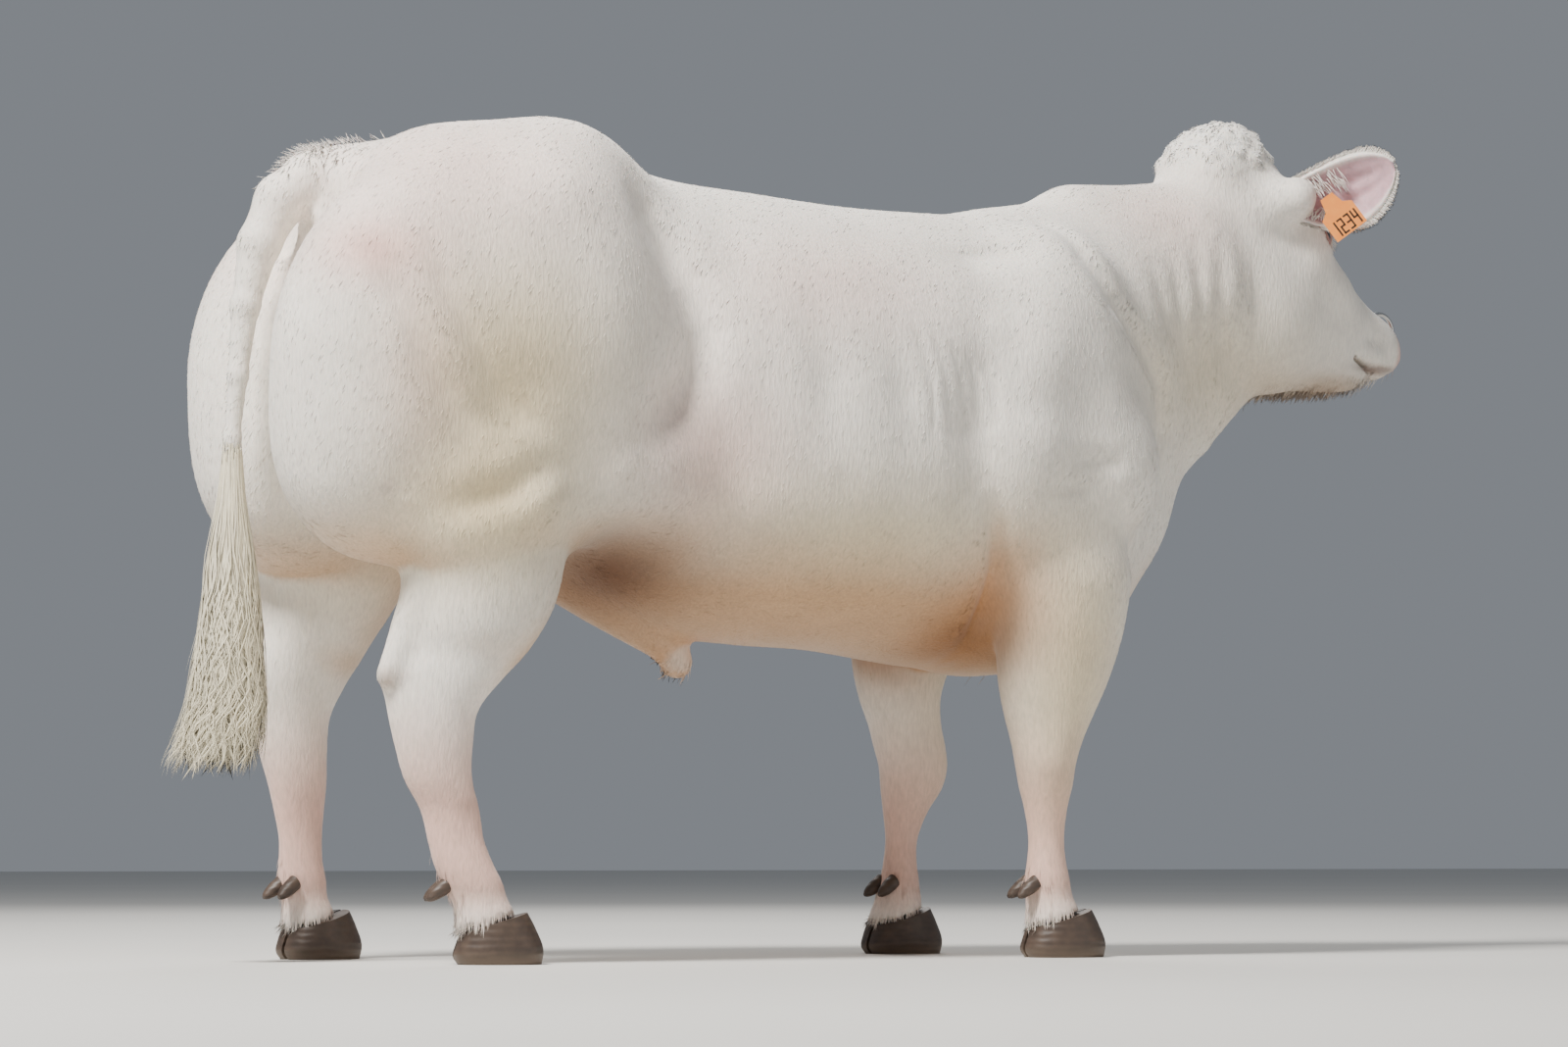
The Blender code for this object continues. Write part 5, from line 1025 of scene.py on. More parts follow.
def grained(tree, grain, darkest, palest):
    """A piece's own stored colour, darker and paler along its grain."""
    own = add(tree, "Attribute", attribute_name="hide")
    tone = add(tree, "MapRange", {"Value": grain, "From Min": 0.3, "From Max": 0.7, "To Min": darkest,
                                  "To Max": palest})
    mixed = add(tree, "VectorMath", {0: own.outputs["Color"], "Scale": tone.outputs["Result"]},
                operation="SCALE")
    return mixed.outputs["Vector"]


def mottled(tree, scale, detail, one, other):
    """A fine cloud from one colour to the other: its strength and its colour."""
    place = add(tree, "TexCoord")
    cloud = add(tree, "TexNoise", {"Vector": place.outputs["Object"], "Scale": scale, "Detail": detail})
    tone = add(tree, "MixRGB", {"Fac": cloud.outputs["Fac"], "Color1": rgba(one), "Color2": rgba(other)})
    return cloud.outputs["Fac"], tone.outputs["Color"]


def hide_shader(name, with_bare):
    """Short white hair over pink skin: creamy, a little uneven, dull, with the hairs' own grain."""
    made, tree, shader = surface(name)
    place = add(tree, "TexCoord")
    own = add(tree, "Attribute", attribute_name="hide")
    cloud = add(tree, "TexNoise", {"Vector": place.outputs["Object"], "Scale": 14.0, "Detail": 4.0,
                                   "Roughness": 0.6})
    # Clumps of hair about 4 mm across and 17 mm long, coarser than single hairs so that they show.
    run = add(tree, "Mapping", {"Vector": place.outputs["Object"], "Scale": (260.0, 260.0, 60.0),
                                "Rotation": (0.0, -0.5, 0.0)})
    grain = add(tree, "TexNoise", {"Vector": run.outputs["Vector"], "Scale": 1.0, "Detail": 3.0,
                                   "Roughness": 0.55})
    tone = add(tree, "MapRange", {"Value": cloud.outputs["Fac"], "From Min": 0.3, "From Max": 0.7,
                                  "To Min": 0.93, "To Max": 1.03})
    fleck = add(tree, "MapRange", {"Value": grain.outputs["Fac"], "From Min": 0.3, "From Max": 0.7,
                                   "To Min": 0.86, "To Max": 1.05})
    both = add(tree, "Math", {0: tone.outputs["Result"], 1: fleck.outputs["Result"]}, operation="MULTIPLY")
    mixed = add(tree, "VectorMath", {0: own.outputs["Color"], "Scale": both.outputs["Value"]},
                operation="SCALE")
    height = grain.outputs["Fac"]
    if with_bare:
        bare = add(tree, "Attribute", attribute_name="bare")
        # The muzzle's beads, about 2.4 mm across.
        beads = add(tree, "TexVoronoi", {"Vector": place.outputs["Object"], "Scale": 420.0})
        blend = add(tree, "Mix", {"Factor": bare.outputs["Fac"], "A": height,
                                  "B": beads.outputs["Distance"]})
        height = blend.outputs["Result"]
        rough = add(tree, "MapRange", {"Value": bare.outputs["Fac"], "To Min": 0.62, "To Max": 0.36})
        tree.links.new(rough.outputs["Result"], shader.inputs["Roughness"])
    else:
        shader.inputs["Roughness"].default_value = 0.58
    bump = add(tree, "Bump", {"Height": height, "Strength": 0.60, "Distance": 0.0022})
    join(tree, shader, mixed.outputs["Vector"], bump)
    shader.inputs["Subsurface Weight"].default_value = 0.06
    shader.inputs["Subsurface Radius"].default_value = (0.012, 0.005, 0.003)
    shader.inputs["Sheen Weight"].default_value = 0.18
    shader.inputs["Sheen Roughness"].default_value = 0.45
    return made


def steps(*spans):
    """Grid places along an axis: runs of start, end and spacing."""
    return np.concatenate([np.arange(a, b - 1e-6, step) for a, b, step in spans])


class Under:
    """All that lies under a foot's coronet, for cutting the leg off above its claws."""

    def __init__(self, x, y, yaw):
        self.x, self.y, self.turn = x, y, np.radians(yaw)
        self.low, self.high = np.array([x - 0.09, y - 0.08, 0.0]), np.array([x + 0.10, y + 0.08, 0.09])

    def distance(self, x, y, z):
        u = (x - self.x) * np.cos(self.turn) + (y - self.y) * np.sin(self.turn)
        return (z - CORONET - CORONET_SLOPE * u) / np.hypot(1, CORONET_SLOPE)


shift = np.zeros(3)
low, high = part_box("eye_right")
shift = (np.array(low) + np.array(high)) / 2 - eye_place(-1)[0]

# The skin: one surface over the whole animal, finest at the head.
clay = Clay(steps((-0.985, 0.66, COARSE), (0.66, 1.19, FINE)),
            steps((-0.370, -0.165, COARSE), (-0.165, 0.215, FINE), (0.215, 0.370, COARSE)),
            steps((0.015, 0.88, COARSE), (0.88, 1.37, FINE)))
body(clay)
for (x0, y0, z0, r0), (x1, y1, z1, r1) in zip(TAIL[:-1], TAIL[1:]):
    clay.add(Taper((x0, y0, z0), (x1, y1, z1), r0 - 0.001, r1 - 0.001), 0.012)
for name, x, y, yaw, heel in feet():
    clay.cut(Under(x, y, yaw), 0.004)
depth = FACE_DEPTH + (COAT_DEPTH - FACE_DEPTH) * (1 - ramp(clay.axes[0], 0.60, 0.74))
clay.field += depth[:, None, None].astype(np.float32)
points, quads = net(clay.axes, clay.field)
corner = points[quads]
across = np.cross(corner[:, 2] - corner[:, 0], corner[:, 3] - corner[:, 1])
normal = np.zeros_like(points)
for k in range(4):
    np.add.at(normal, quads[:, k], across)
normal /= np.linalg.norm(normal, axis=1)[:, None] + 1e-12
hide = hide_shader("short white hair over pink skin", True)
skin = bring("skin", points, quads, hide)
tint(skin, coat_colour_and_shade(points, normal))
layer = skin.data.attributes.new("bare", "FLOAT", "POINT")
layer.data.foreach_set("value", bareness(points).astype(np.float32))
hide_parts("head", "neck", "torso", "hindquarters", "tail",
            "leg_hind_right", "leg_hind_left", "leg_fore_right", "leg_fore_left")


def unwrap_skin():
    """A coarse copy of the skin, unwrapped by its own shape: its search tree, corners and UVs."""
    coarse_points, coarse_quads = net([a[::4] for a in clay.axes], clay.field[::4, ::4, ::4].copy())
    item = bring("unwrap", coarse_points,
                 np.concatenate([coarse_quads[:, [0, 1, 2]], coarse_quads[:, [0, 2, 3]]]), hide)
    bpy.context.view_layer.objects.active = item
    item.select_set(True)
    bpy.ops.object.mode_set(mode="EDIT")
    bpy.ops.mesh.select_all(action="SELECT")
    bpy.ops.uv.smart_project(angle_limit=math.radians(66), island_margin=0.001)
    bpy.ops.object.mode_set(mode="OBJECT")
    count = len(item.data.polygons)
    uv = np.zeros(count * 6)
    item.data.uv_layers[0].uv.foreach_get("vector", uv)
    loops = np.zeros(count * 3, int)
    item.data.loops.foreach_get("vertex_index", loops)
    place = np.zeros(len(item.data.vertices) * 3)
    item.data.vertices.foreach_get("co", place)
    place, loops = place.reshape(-1, 3) - shift, loops.reshape(-1, 3)
    tree = BVHTree.FromPolygons(place.tolist(), loops.tolist())
    bpy.data.objects.remove(item)
    return tree, place[loops], uv.reshape(-1, 3, 2)


def spots(roots):
    """Where each root lies on the unwrapped skin."""
    tree, corners, uv = unwrapped
    found = [tree.find_nearest(r) for r in roots.tolist()]
    face = np.array([f[2] for f in found])
    at = np.array([tuple(f[0]) for f in found])
    a, b, c = (corners[face, k] for k in range(3))
    e0, e1, e2 = b - a, c - a, at - a
    d00, d01, d11 = (e0 * e0).sum(1), (e0 * e1).sum(1), (e1 * e1).sum(1)
    d20, d21 = (e2 * e0).sum(1), (e2 * e1).sum(1)
    under = d00 * d11 - d01 * d01 + 1e-18
    v, w = (d11 * d20 - d01 * d21) / under, (d00 * d21 - d01 * d20) / under
    u = 1 - v - w
    return uv[face, 0] * u[:, None] + uv[face, 1] * v[:, None] + uv[face, 2] * w[:, None]


def unit(v):
    return v / (np.linalg.norm(v, axis=-1, keepdims=True) + 1e-12)


def tufts(name, paths, ups, wide, thick, colours, places, shape, material, soft=0.8):
    """Many tapered tufts in one piece, each a closed three-sided blade along its row of paths.
    soft is how far they take the light as the surface under them does."""
    count, steps_ = paths.shape[:2]
    wide, thick = np.broadcast_to(wide, count), np.broadcast_to(thick, count)
    rings, facing = [], []
    for j in range(steps_ - 1):
        along = unit(paths[:, j + 1] - paths[:, max(j - 1, 0)])
        side = unit(np.cross(along, ups))
        up = np.cross(side, along)
        w, h = (wide * shape[j])[:, None], (thick * shape[j])[:, None]
        rings += [paths[:, j] + up * h, paths[:, j] + side * w, paths[:, j] - side * w]
        facing += [up, unit(side - 0.4 * up), unit(-side - 0.4 * up)]
    rings.append(paths[:, -1])
    facing.append(up)
    each = len(rings)
    points = np.stack(rings, 1).reshape(-1, 3)
    faces = [(0, 2, 1)]
    for j in range(steps_ - 2):
        for k in range(3):
            a, b = 3 * j + k, 3 * j + (k + 1) % 3
            faces += [(a, b, b + 3), (a, b + 3, a + 3)]
    last = 3 * (steps_ - 2)
    faces += [(last + k, last + (k + 1) % 3, each - 1) for k in range(3)]
    faces = (np.arange(count)[:, None, None] * each + np.array(faces)[None]).reshape(-1, 3)
    item = bring(name, points, faces, material)
    along_share = np.array([j // 3 / (steps_ - 1) for j in range(each - 1)] + [1.0])
    shade = 0.98 + 0.04 * along_share
    tint(item, (colours[:, None, :] * shade[None, :, None]).reshape(-1, 3))
    off = np.array([((0, 1, -1)[j % 3], 2 * s - 1) for j, s in enumerate(along_share)]) * 0.0015
    uv = (places[:, None, :] + off[None]).reshape(-1, 2)
    chart = item.data.uv_layers.new(name="OFBake")
    chart.uv.foreach_set("vector", uv[faces.ravel()].astype(np.float32).ravel())
    facing = unit(np.stack(facing, 1) * (1 - soft) + ups[:, None] * soft).reshape(-1, 3)
    item.data.normals_split_custom_set_from_vertices(facing.astype(np.float32))
    return item


def going(way, reach):
    """Steps of each hair along its own direction, reach holding how far at each step."""
    return way[:, None] * reach[:, :, None]


def sow(share, count, rng):
    """Roots over the skin, spread by area times share: their places and the skin's directions there."""
    size = np.linalg.norm(across, axis=1) / 2
    weight = size * share
    pick = np.searchsorted(np.cumsum(weight), rng.uniform(0, weight.sum(), count))
    pick = np.clip(pick, 0, len(quads) - 1)
    s, t = rng.uniform(0, 1, (2, count))
    w = np.stack([(1 - s) * (1 - t), s * (1 - t), s * t, (1 - s) * t], 1)[:, :, None]
    return (points[quads[pick]] * w).sum(1), unit((normal[quads[pick]] * w).sum(1))


def lie(p, n):
    """The way the hair lies: back and down the body, down the legs and neck, and down the face."""
    h = in_head(p)
    way = np.tile([-0.55, 0.0, -0.85], (len(p), 1))
    leg = ramp(-p[:, 2], -0.62, -0.48) * (np.abs(p[:, 1]) > 0.08)
    way = way * (1 - leg[:, None]) + np.array([0.0, 0.0, -1.0]) * leg[:, None]
    belly = ramp(-n[:, 2], 0.5, 0.9)[:, None]
    way = way * (1 - belly) + np.array([-1.0, 0.0, 0.0]) * belly
    neck = (ramp(p[:, 0], 0.48, 0.60) * (1 - ramp(h[:, 0], 0.02, 0.10)))[:, None]
    way = way * (1 - neck) + np.array([-0.20, 0.0, -1.0]) * neck
    face = ramp(h[:, 0], 0.02, 0.10)[:, None]
    down = np.array([HEAD_COS * 0.55, HEAD_SIN * 0.55, -0.85])
    cheek = np.array([-HEAD_COS * 0.35, -HEAD_SIN * 0.35, -0.95])
    front = ramp(n @ np.array([HEAD_COS * 0.7, HEAD_SIN * 0.7, 0.7]), 0.3, 0.8)[:, None]
    way = way * (1 - face) + (down * front + cheek * (1 - front)) * face
    way = way - n * (way * n).sum(1, keepdims=True)
    return unit(way)


# Half the length and half the height of the opening between the lids.
LID_WIDE = 0.0168
LID_OPEN = 0.0098
# The short coat's tufts: how many, and their length, half width and thickness.
TUFTS = 84000
TUFT_LENGTH = 0.0140
TUFT_WIDE = 0.0012
TUFT_THICK = 0.0004
# The other hairs: the poll's curls and the clumps they lean to, the longer hair, the tail head, and
# the lashes of an eye.
CURLS = 6500
CLUMP_COUNT = 260
LONG = 3000
TAILHEAD = 420
LASHES = 90
# An ear's hairs: on its back, round its rim, and from its mouth.
BACK, RIM, WISPS = ((1800, 1800, 240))

unwrapped = unwrap_skin()
fur = hide_shader("short white hair", False)
centres = corner.mean(1)
bare_face = bareness(centres)
in_face = in_head(centres)
rng = np.random.default_rng(11)


def short_coat():
    """Thin tufts over the whole skin, smallest on the face and feet."""
    closed = np.ones(len(centres))
    for side in (-1, 1):
        root, axis, towards = ear_place(side)
        closed *= 1 - blob(centres, root + unit(axis) * 0.045, (0.020, 0.020, 0.020))
    low_zone = ramp(-centres[:, 2], -0.60, -0.45)
    head_zone = ramp(centres[:, 0], 0.70, 0.78)
    share = (1 - bare_face) * closed * (1 + 0.7 * low_zone + 1.6 * head_zone)
    roots, out = sow(share, TUFTS, rng)
    order = np.argsort(roots[:, 0])
    roots, out = roots[order], out[order]
    way = lie(roots, out)
    way = unit(way + 0.16 * np.cross(out, way) * rng.normal(0, 1, (TUFTS, 1)))
    small = (1 - 0.45 * ramp(roots[:, 0], 0.74, 0.86)
             - 0.35 * ramp(-roots[:, 2], -0.55, -0.35) * (roots[:, 0] < 0.7))
    length = TUFT_LENGTH * small * rng.uniform(0.75, 1.25, TUFTS)
    rise = rng.uniform(0.05, 0.17, TUFTS)
    t = np.array([0.0, 0.5, 1.0])
    paths = ((roots - out * 0.0012)[:, None] + going(way, length[:, None] * t)
             + going(out, length[:, None] * rise[:, None] * (t * (1.35 - 0.5 * t))))
    colours = coat_colour_and_shade(roots, out) * rng.uniform(0.88, 1.07, (TUFTS, 1))
    spot = spots(roots)
    pieces = 6
    for k in range(pieces):
        s = slice(k * TUFTS // pieces, (k + 1) * TUFTS // pieces)
        tufts("coat_%d" % (k + 1), paths[s], out[s], TUFT_WIDE * (small[s] * 0.5 + 0.5), TUFT_THICK,
              colours[s], spot[s], (1.0, 0.85), fur, 0.6)


short_coat()


def poll_hair():
    """The poll's cushion: short curls that lean together in clumps."""
    h = in_face
    poll = (ramp(h[:, 2], 1.225, 1.262) * ramp(-h[:, 0], -0.165, -0.115) * ramp(h[:, 0], -0.04, 0.0)
            + 0.35 * blob(h, (0.150, 0.0, 1.245), (0.040, 0.06, 0.035)))
    roots, out = sow(poll, CURLS, rng)
    clumps = roots[rng.integers(0, CURLS, CLUMP_COUNT)]
    near = np.argmin(((roots[:, None] - clumps[None]) ** 2).sum(2), 1)
    lean = clumps[near] - roots
    spin = rng.uniform(0, 2 * np.pi, CLUMP_COUNT)[near]
    way = unit(np.cos(spin)[:, None] * unit(np.cross(out, [0.3, 0.1, 1.0]))
               + np.sin(spin)[:, None] * unit(np.cross(out, [0.1, 1.0, 0.1])))
    way = unit(way + lean * 25 + rng.normal(0, 0.25, (CURLS, 3)))
    way = unit(way - out * (way * out).sum(1, keepdims=True))
    length = rng.uniform(0.010, 0.017, CURLS)
    paths = []
    for t in np.linspace(0, 1, 6):
        a = t * 3.0
        paths.append(roots - out * 0.002 + out * (length * (0.15 * np.sin(a * 0.62)))[:, None]
                     + way * (length * (0.55 * t + 0.18 * np.sin(a)))[:, None] + lean * 0.35 * t)
    paths = np.stack(paths, 1)
    tone = linear("FBF7F1") * rng.uniform(0.97, 1.03, (CURLS, 1))
    tufts("poll_curls", paths, out, 0.0013, 0.0008, tone, spots(roots), (0.8, 1.0, 1.0, 0.9, 0.6), fur,
          0.92)


poll_hair()


def fringes():
    """Longer hair on the chin, brisket and sheath, the backs of the fetlocks, and over the claws."""
    fringe = patches(fold(in_face, 1), [(1.5, (0.375, 0.02, 0.915), (0.035, 0.04, 0.014)),
                                        (0.8, (0.25, 0.02, 0.885), (0.09, 0.06, 0.02))])
    fringe += 0.25 * blob(centres, (-0.183, 0.0, 0.425), (0.03, 0.04, 0.03))
    for name, x, y, yaw, heel in feet():
        c, s = np.cos(np.radians(yaw)), np.sin(np.radians(yaw))
        fringe += 0.7 * blob(centres, (x + (heel + 0.02) * c, y + (heel + 0.02) * s, 0.110), (0.030, 0.030,
                                                                                              0.030))
        fringe += 1.2 * ramp(-centres[:, 2], -0.085,
                             -0.062) * (np.abs(centres[:, 0] - x) < 0.09) * (np.abs(centres[:, 1]
                                                                                    - y) < 0.08)
    fringe += 0.35 * ramp(-normal[quads[:, 0], 2], 0.5,
                          0.9) * blob(centres, (0.50, 0.0, 0.50), (0.10, 0.06, 0.06))
    roots, out = sow(fringe * (1 - bare_face), LONG, rng)
    way = unit(lie(roots, out) + np.array([0.0, 0.0, -0.8]) + rng.normal(0, 0.10, (LONG, 3)))
    length = rng.uniform(0.012, 0.024, LONG)
    t = np.linspace(0, 1, 4)
    paths = ((roots - out * 0.001)[:, None] + going(way, length[:, None] * t)
             + going(out, length[:, None] * 0.25 * t * (1 - 0.4 * t)))
    tufts("longer_hair", paths, out, 0.0008, 0.0005, coat_colour_and_shade(roots, out), spots(roots), (1.0, 0.9, 0.6), fur)


fringes()


# Ears: a thin cupped leaf with a pink inside, and hair along its rim and in its mouth.
def ear_grid(side, along, across_, inner):
    """Points of the ear's outer or inner face, with how far along and across each is."""
    root, f, n, b = ear_frame(side)
    table = np.array(EAR)
    s, a = np.meshgrid(along, across_, indexing="ij")
    wide, deep, thick = (spline(table[:, 0], table[:, k], s) for k in (1, 2, 3))
    spine = ear_spine(side, s)
    if inner:
        rib = 0.0018 * np.cos(a * 11) * ramp(s, 0.15, 0.35) * (1 - ramp(s, 0.70, 0.95)) * (1 - a * a)
        return (spine + b * (wide * a * 0.88)[..., None]
                + n * (thick * 0.55 * (1 - np.abs(a) ** 3) - deep * (1 - a * a) + 0.0030 + rib)[..., None])
    return spine + b * (wide * a)[..., None] - n * (deep * (1 - a * a))[..., None]


def ear_skin():
    """Thin pink-violet skin inside the ear and short white hair outside, with fine veins."""
    made, tree, shader = surface("thin pink skin of the ear")
    place = add(tree, "TexCoord")
    # Veins about 14 mm apart.
    veins = add(tree, "TexNoise", {"Vector": place.outputs["Object"], "Scale": 70.0, "Detail": 5.0,
                                   "Distortion": 0.8})
    bump = add(tree, "Bump", {"Height": veins.outputs["Fac"], "Strength": 0.25, "Distance": 0.0015})
    join(tree, shader, grained(tree, veins.outputs["Fac"], 0.86, 1.06), bump)
    shader.inputs["Roughness"].default_value = 0.5
    shader.inputs["Subsurface Weight"].default_value = 0.35
    shader.inputs["Subsurface Radius"].default_value = (0.010, 0.004, 0.003)
    return made


ear_material = ear_skin()


def ears():
    """Both ears: the cupped leaf, and its hair."""
    for side, word in SIDES:
        root, f, n, b = ear_frame(side)
        along, wide = np.linspace(-0.10, 1.0, 34), np.linspace(-1, 1, 25)
        outer, inner = ear_grid(side, along, wide, False), ear_grid(side, along, wide, True)
        sheet = np.concatenate([outer, inner[:, ::-1]], 1)
        count = sheet.shape[1]
        faces = [grid_quads(len(along), count)]
        for row in (0, len(along) - 1):
            k = row * count + np.arange(count // 2)
            far = row * count + count - 1 - np.arange(count // 2)
            faces.append(np.stack([k[:-1], k[1:], far[1:], far[:-1]], 1))
        item = bring("ear_" + word + "_skin", sheet.reshape(-1, 3), np.concatenate(faces), ear_material)
        outward(item)
        s, t = np.meshgrid(along, np.concatenate([wide, wide[::-1]]), indexing="ij")
        hollow = np.concatenate([np.zeros(outer.shape[:2]), np.ones(inner.shape[:2])], 1)
        rim = ramp(np.abs(t), 0.80, 1.0)[..., None]
        # The hollow's colour is up to a quarter darker towards the root of the cup: painted shade deep in the
        # ear.
        deep = ramp(-s, -0.55, -0.15)[..., None]
        colour = np.tile(linear("F3ECE4"), (*s.shape, 1))
        inside = linear("C9A6AE") * (1 - deep * 0.25) * (1 - rim) + linear("EADFDA") * rim
        colour = np.where(hollow[..., None] > 0, inside, colour)
        tint(item, colour.reshape(-1, 3))
        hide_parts("ear_" + word)
        # Hair: short on the back, a soft fringe round the rim, long wisps from the mouth of the cup.
        s = np.concatenate([rng.uniform(0.05, 1.0, BACK), rng.uniform(0.10, 1.0, RIM),
                            rng.uniform(0.02, 0.55, WISPS)])
        t = np.concatenate([rng.uniform(-1, 1, BACK),
                            rng.choice([-1, 1], RIM) * rng.uniform(0.93, 1.0, RIM),
                            rng.choice([-1, 1], WISPS) * rng.uniform(0.45, 0.95, WISPS)])
        kind = np.repeat([0, 1, 2], (BACK, RIM, WISPS))
        table = np.array(EAR)
        at = []
        for face in (False, True):
            here = np.empty((len(s), 3))
            width, dip, thick = (spline(table[:, 0], table[:, k], s) for k in (1, 2, 3))
            spine = ear_spine(side, s)
            lift = thick * 0.55 * (1 - np.abs(t) ** 3) + 0.003 if face else 0 * s
            at.append(spine + b * (width * t * (0.88 if face else 1.0))[:, None]
                      + n * (lift - dip * (1 - t * t))[:, None])
        base = np.where((kind == 2)[:, None], at[1], at[0])
        turn_out = unit(b * t[:, None] - n * (1 - np.abs(t))[:, None] * 1.2)
        away = np.where((kind == 0)[:, None], unit(turn_out * 0.25 + f),
                        np.where((kind == 1)[:, None], unit(turn_out * 0.9 + f * 0.9 + n * 0.25),
                        unit(f * 0.5 - b * (t * 0.9)[:, None] + n * 0.7)))
        away = unit(away + rng.normal(0, 0.12, away.shape))
        span = (np.where(kind == 0, 0.010, np.where(kind == 1, 0.013, 0.026))
                * rng.uniform(0.7, 1.25, len(s)) * (1 - 0.35 * ramp(s, 0.8, 1.0)))
        q = np.linspace(0, 1, 4)
        droop = np.array([0.0, 0.0, -1.0]) * np.where(kind == 2, 0.35, 0.08)[:, None]
        paths = base[:, None] + going(away, span[:, None] * q) + going(droop, span[:, None] * q * q)
        ups = np.where((kind == 2)[:, None], n, -n)
        chart = np.column_stack([0.05 + 0.9 * (s * 0.5 + (kind == 2) * 0.5), 0.5 + 0.45 * t])
        shade = linear("F5EFE7") * rng.uniform(0.92, 1.05, (len(s), 1))
        tufts("ear_" + word + "_hair", paths, ups, np.where(kind == 0, 0.0011, 0.0007), 0.0004, shade,
              chart, (1.0, 0.9, 0.6), fur, 0.0)


ears()


# Tail brush: wavy locks of long hair, with looser hairs round them.
BRUSH_STEPS = 13


def brush(name, count, tops, wide, reach, wave, seed):
    """One layer of the brush, each hair falling from the tail in a wave of its own."""
    r = np.random.default_rng(seed)
    share = r.uniform(0, 1, count) ** 0.8
    top = tops[0] + (tops[1] - tops[0]) * share
    end = 0.256 + r.uniform(0, 0.14, count) * (1 - share) + r.uniform(0, 0.05, count)
    angle = r.uniform(0, 2 * np.pi, count)
    ring = np.stack([np.cos(angle), np.sin(angle), 0 * angle], 1)
    phase, beat = r.uniform(0, 2 * np.pi, count), r.uniform(1.6, 2.8, count)
    spread = r.uniform(0.15, 1.0, count) ** 0.7
    paths = []
    for t in np.linspace(0, 1, BRUSH_STEPS):
        z = top + (end - top) * t
        fall = np.clip(0.70 - z, 0, 1)
        x, half = brush_at(z)
        middle = np.stack([x, 0.004 + 0 * z, z], 1)
        bend = wave * ramp(fall, 0.03, 0.25) * np.sin(phase + 2 * np.pi * beat * t)
        out = half * (0.80 + (reach * spread - 0.80) * ramp(t, 0.0, 0.35))
        paths.append(middle + ring * out[:, None] * (1.0, 0.9, 1.0)
                     + np.cross(ring, (0, 0, 1.0)) * bend[:, None]
                     + np.array([-0.012, 0.0, 0.0]) * (t**2 * spread * (np.cos(angle) < 0))[:, None])
    paths = np.stack(paths, 1)
    stained = ramp(-paths[:, -1, 2], -0.5, -0.3)[:, None] * 0.35
    colours = ((linear("F8F1DC") * (1 - stained) + linear("E3D29C") * stained)
               * r.uniform(0.86, 1.06, (count, 1)))
    chart = np.column_stack([0.02 + 0.96 * angle / (2 * np.pi), 0.02 + 0.96 * share])
    last = BRUSH_STEPS - 1
    shape = [0.45] + [0.8 + 0.4 * np.sin(np.pi * k / last) - 0.75 * (k / last) ** 3 for k in range(1, last)]
    item = tufts(name, paths, ring, wide * r.uniform(0.6, 1.2, count),
                 0.35 * wide * r.uniform(0.8, 1.2, count), colours, chart,
                 shape, tail_hair, 0.45)
    return item


def long_hair():
    """Long coarse hair of the tail: cream, with a soft shine along each lock."""
    made, tree, shader = surface("long cream tail hair")
    place = add(tree, "TexCoord")
    # Hairs 1.4 mm across and 29 mm long, coarser than real ones so that they show.
    run = add(tree, "Mapping", {"Vector": place.outputs["Object"], "Scale": (700.0, 700.0, 35.0)})
    grain = add(tree, "TexNoise", {"Vector": run.outputs["Vector"], "Scale": 1.0, "Detail": 3.0})
    bump = add(tree, "Bump", {"Height": grain.outputs["Fac"], "Strength": 0.5, "Distance": 0.0008})
    join(tree, shader, grained(tree, grain.outputs["Fac"], 0.84, 1.06), bump)
    shader.inputs["Roughness"].default_value = 0.46
    shader.inputs["Sheen Weight"].default_value = 0.15
    return made


tail_hair = long_hair()
LOCKS, STRANDS = ((620, 1900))
item = brush("tail_locks", LOCKS, (0.725, 0.46), 0.0042, 0.80, 0.0085, 21)
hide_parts("tail_switch")
brush("tail_strands", STRANDS, (0.745, 0.40), 0.0012, 0.92, 0.0105, 22)


def tail_head():
    """Short tufts standing up on the tail head."""
    roots, out = sow(blob(centres, (-0.735, 0.0, 1.150), (0.060, 0.040, 0.030))
                     * ramp(normal[quads[:, 0], 2], 0.1, 0.6), TAILHEAD, rng)
    way = unit(lie(roots, out) + out * 0.9 + rng.normal(0, 0.2, (TAILHEAD, 3)))
    t = np.linspace(0, 1, 4)
    length = rng.uniform(0.012, 0.022, TAILHEAD)
    paths = (roots - out * 0.001)[:, None] + going(way, length[:, None] * t)
    tufts("tail_head_hair", paths, out, 0.0009, 0.0005, coat_colour_and_shade(roots, out), spots(roots), (1.0, 0.9, 0.6),
          fur)


tail_head()


# Eyes, each with its iris, pupil and lids.
def eye_shader():
    """Wet dark eye: brown round a level pupil, with a hard clear gloss over it."""
    made, tree, shader = surface("wet dark eye")
    own = add(tree, "Attribute", attribute_name="hide")
    tree.links.new(own.outputs["Color"], shader.inputs["Base Color"])
    shader.inputs["Roughness"].default_value = 0.12
    shader.inputs["Coat Weight"].default_value = 1.0
    shader.inputs["Coat Roughness"].default_value = 0.02
    return made


def lid_shader():
    """Bare lid: moist pink-brown skin, finely creased."""
    made, tree, shader = surface("moist skin of the lids")
    # Creases about 2 mm apart.
    crease, tone = mottled(tree, 500.0, 3.0, "8E5F58", "B98C82")
    bump = add(tree, "Bump", {"Height": crease, "Strength": 0.3, "Distance": 0.0006})
    join(tree, shader, tone, bump)
    shader.inputs["Roughness"].default_value = 0.35
    return made


eye_material, lid_material = eye_shader(), lid_shader()


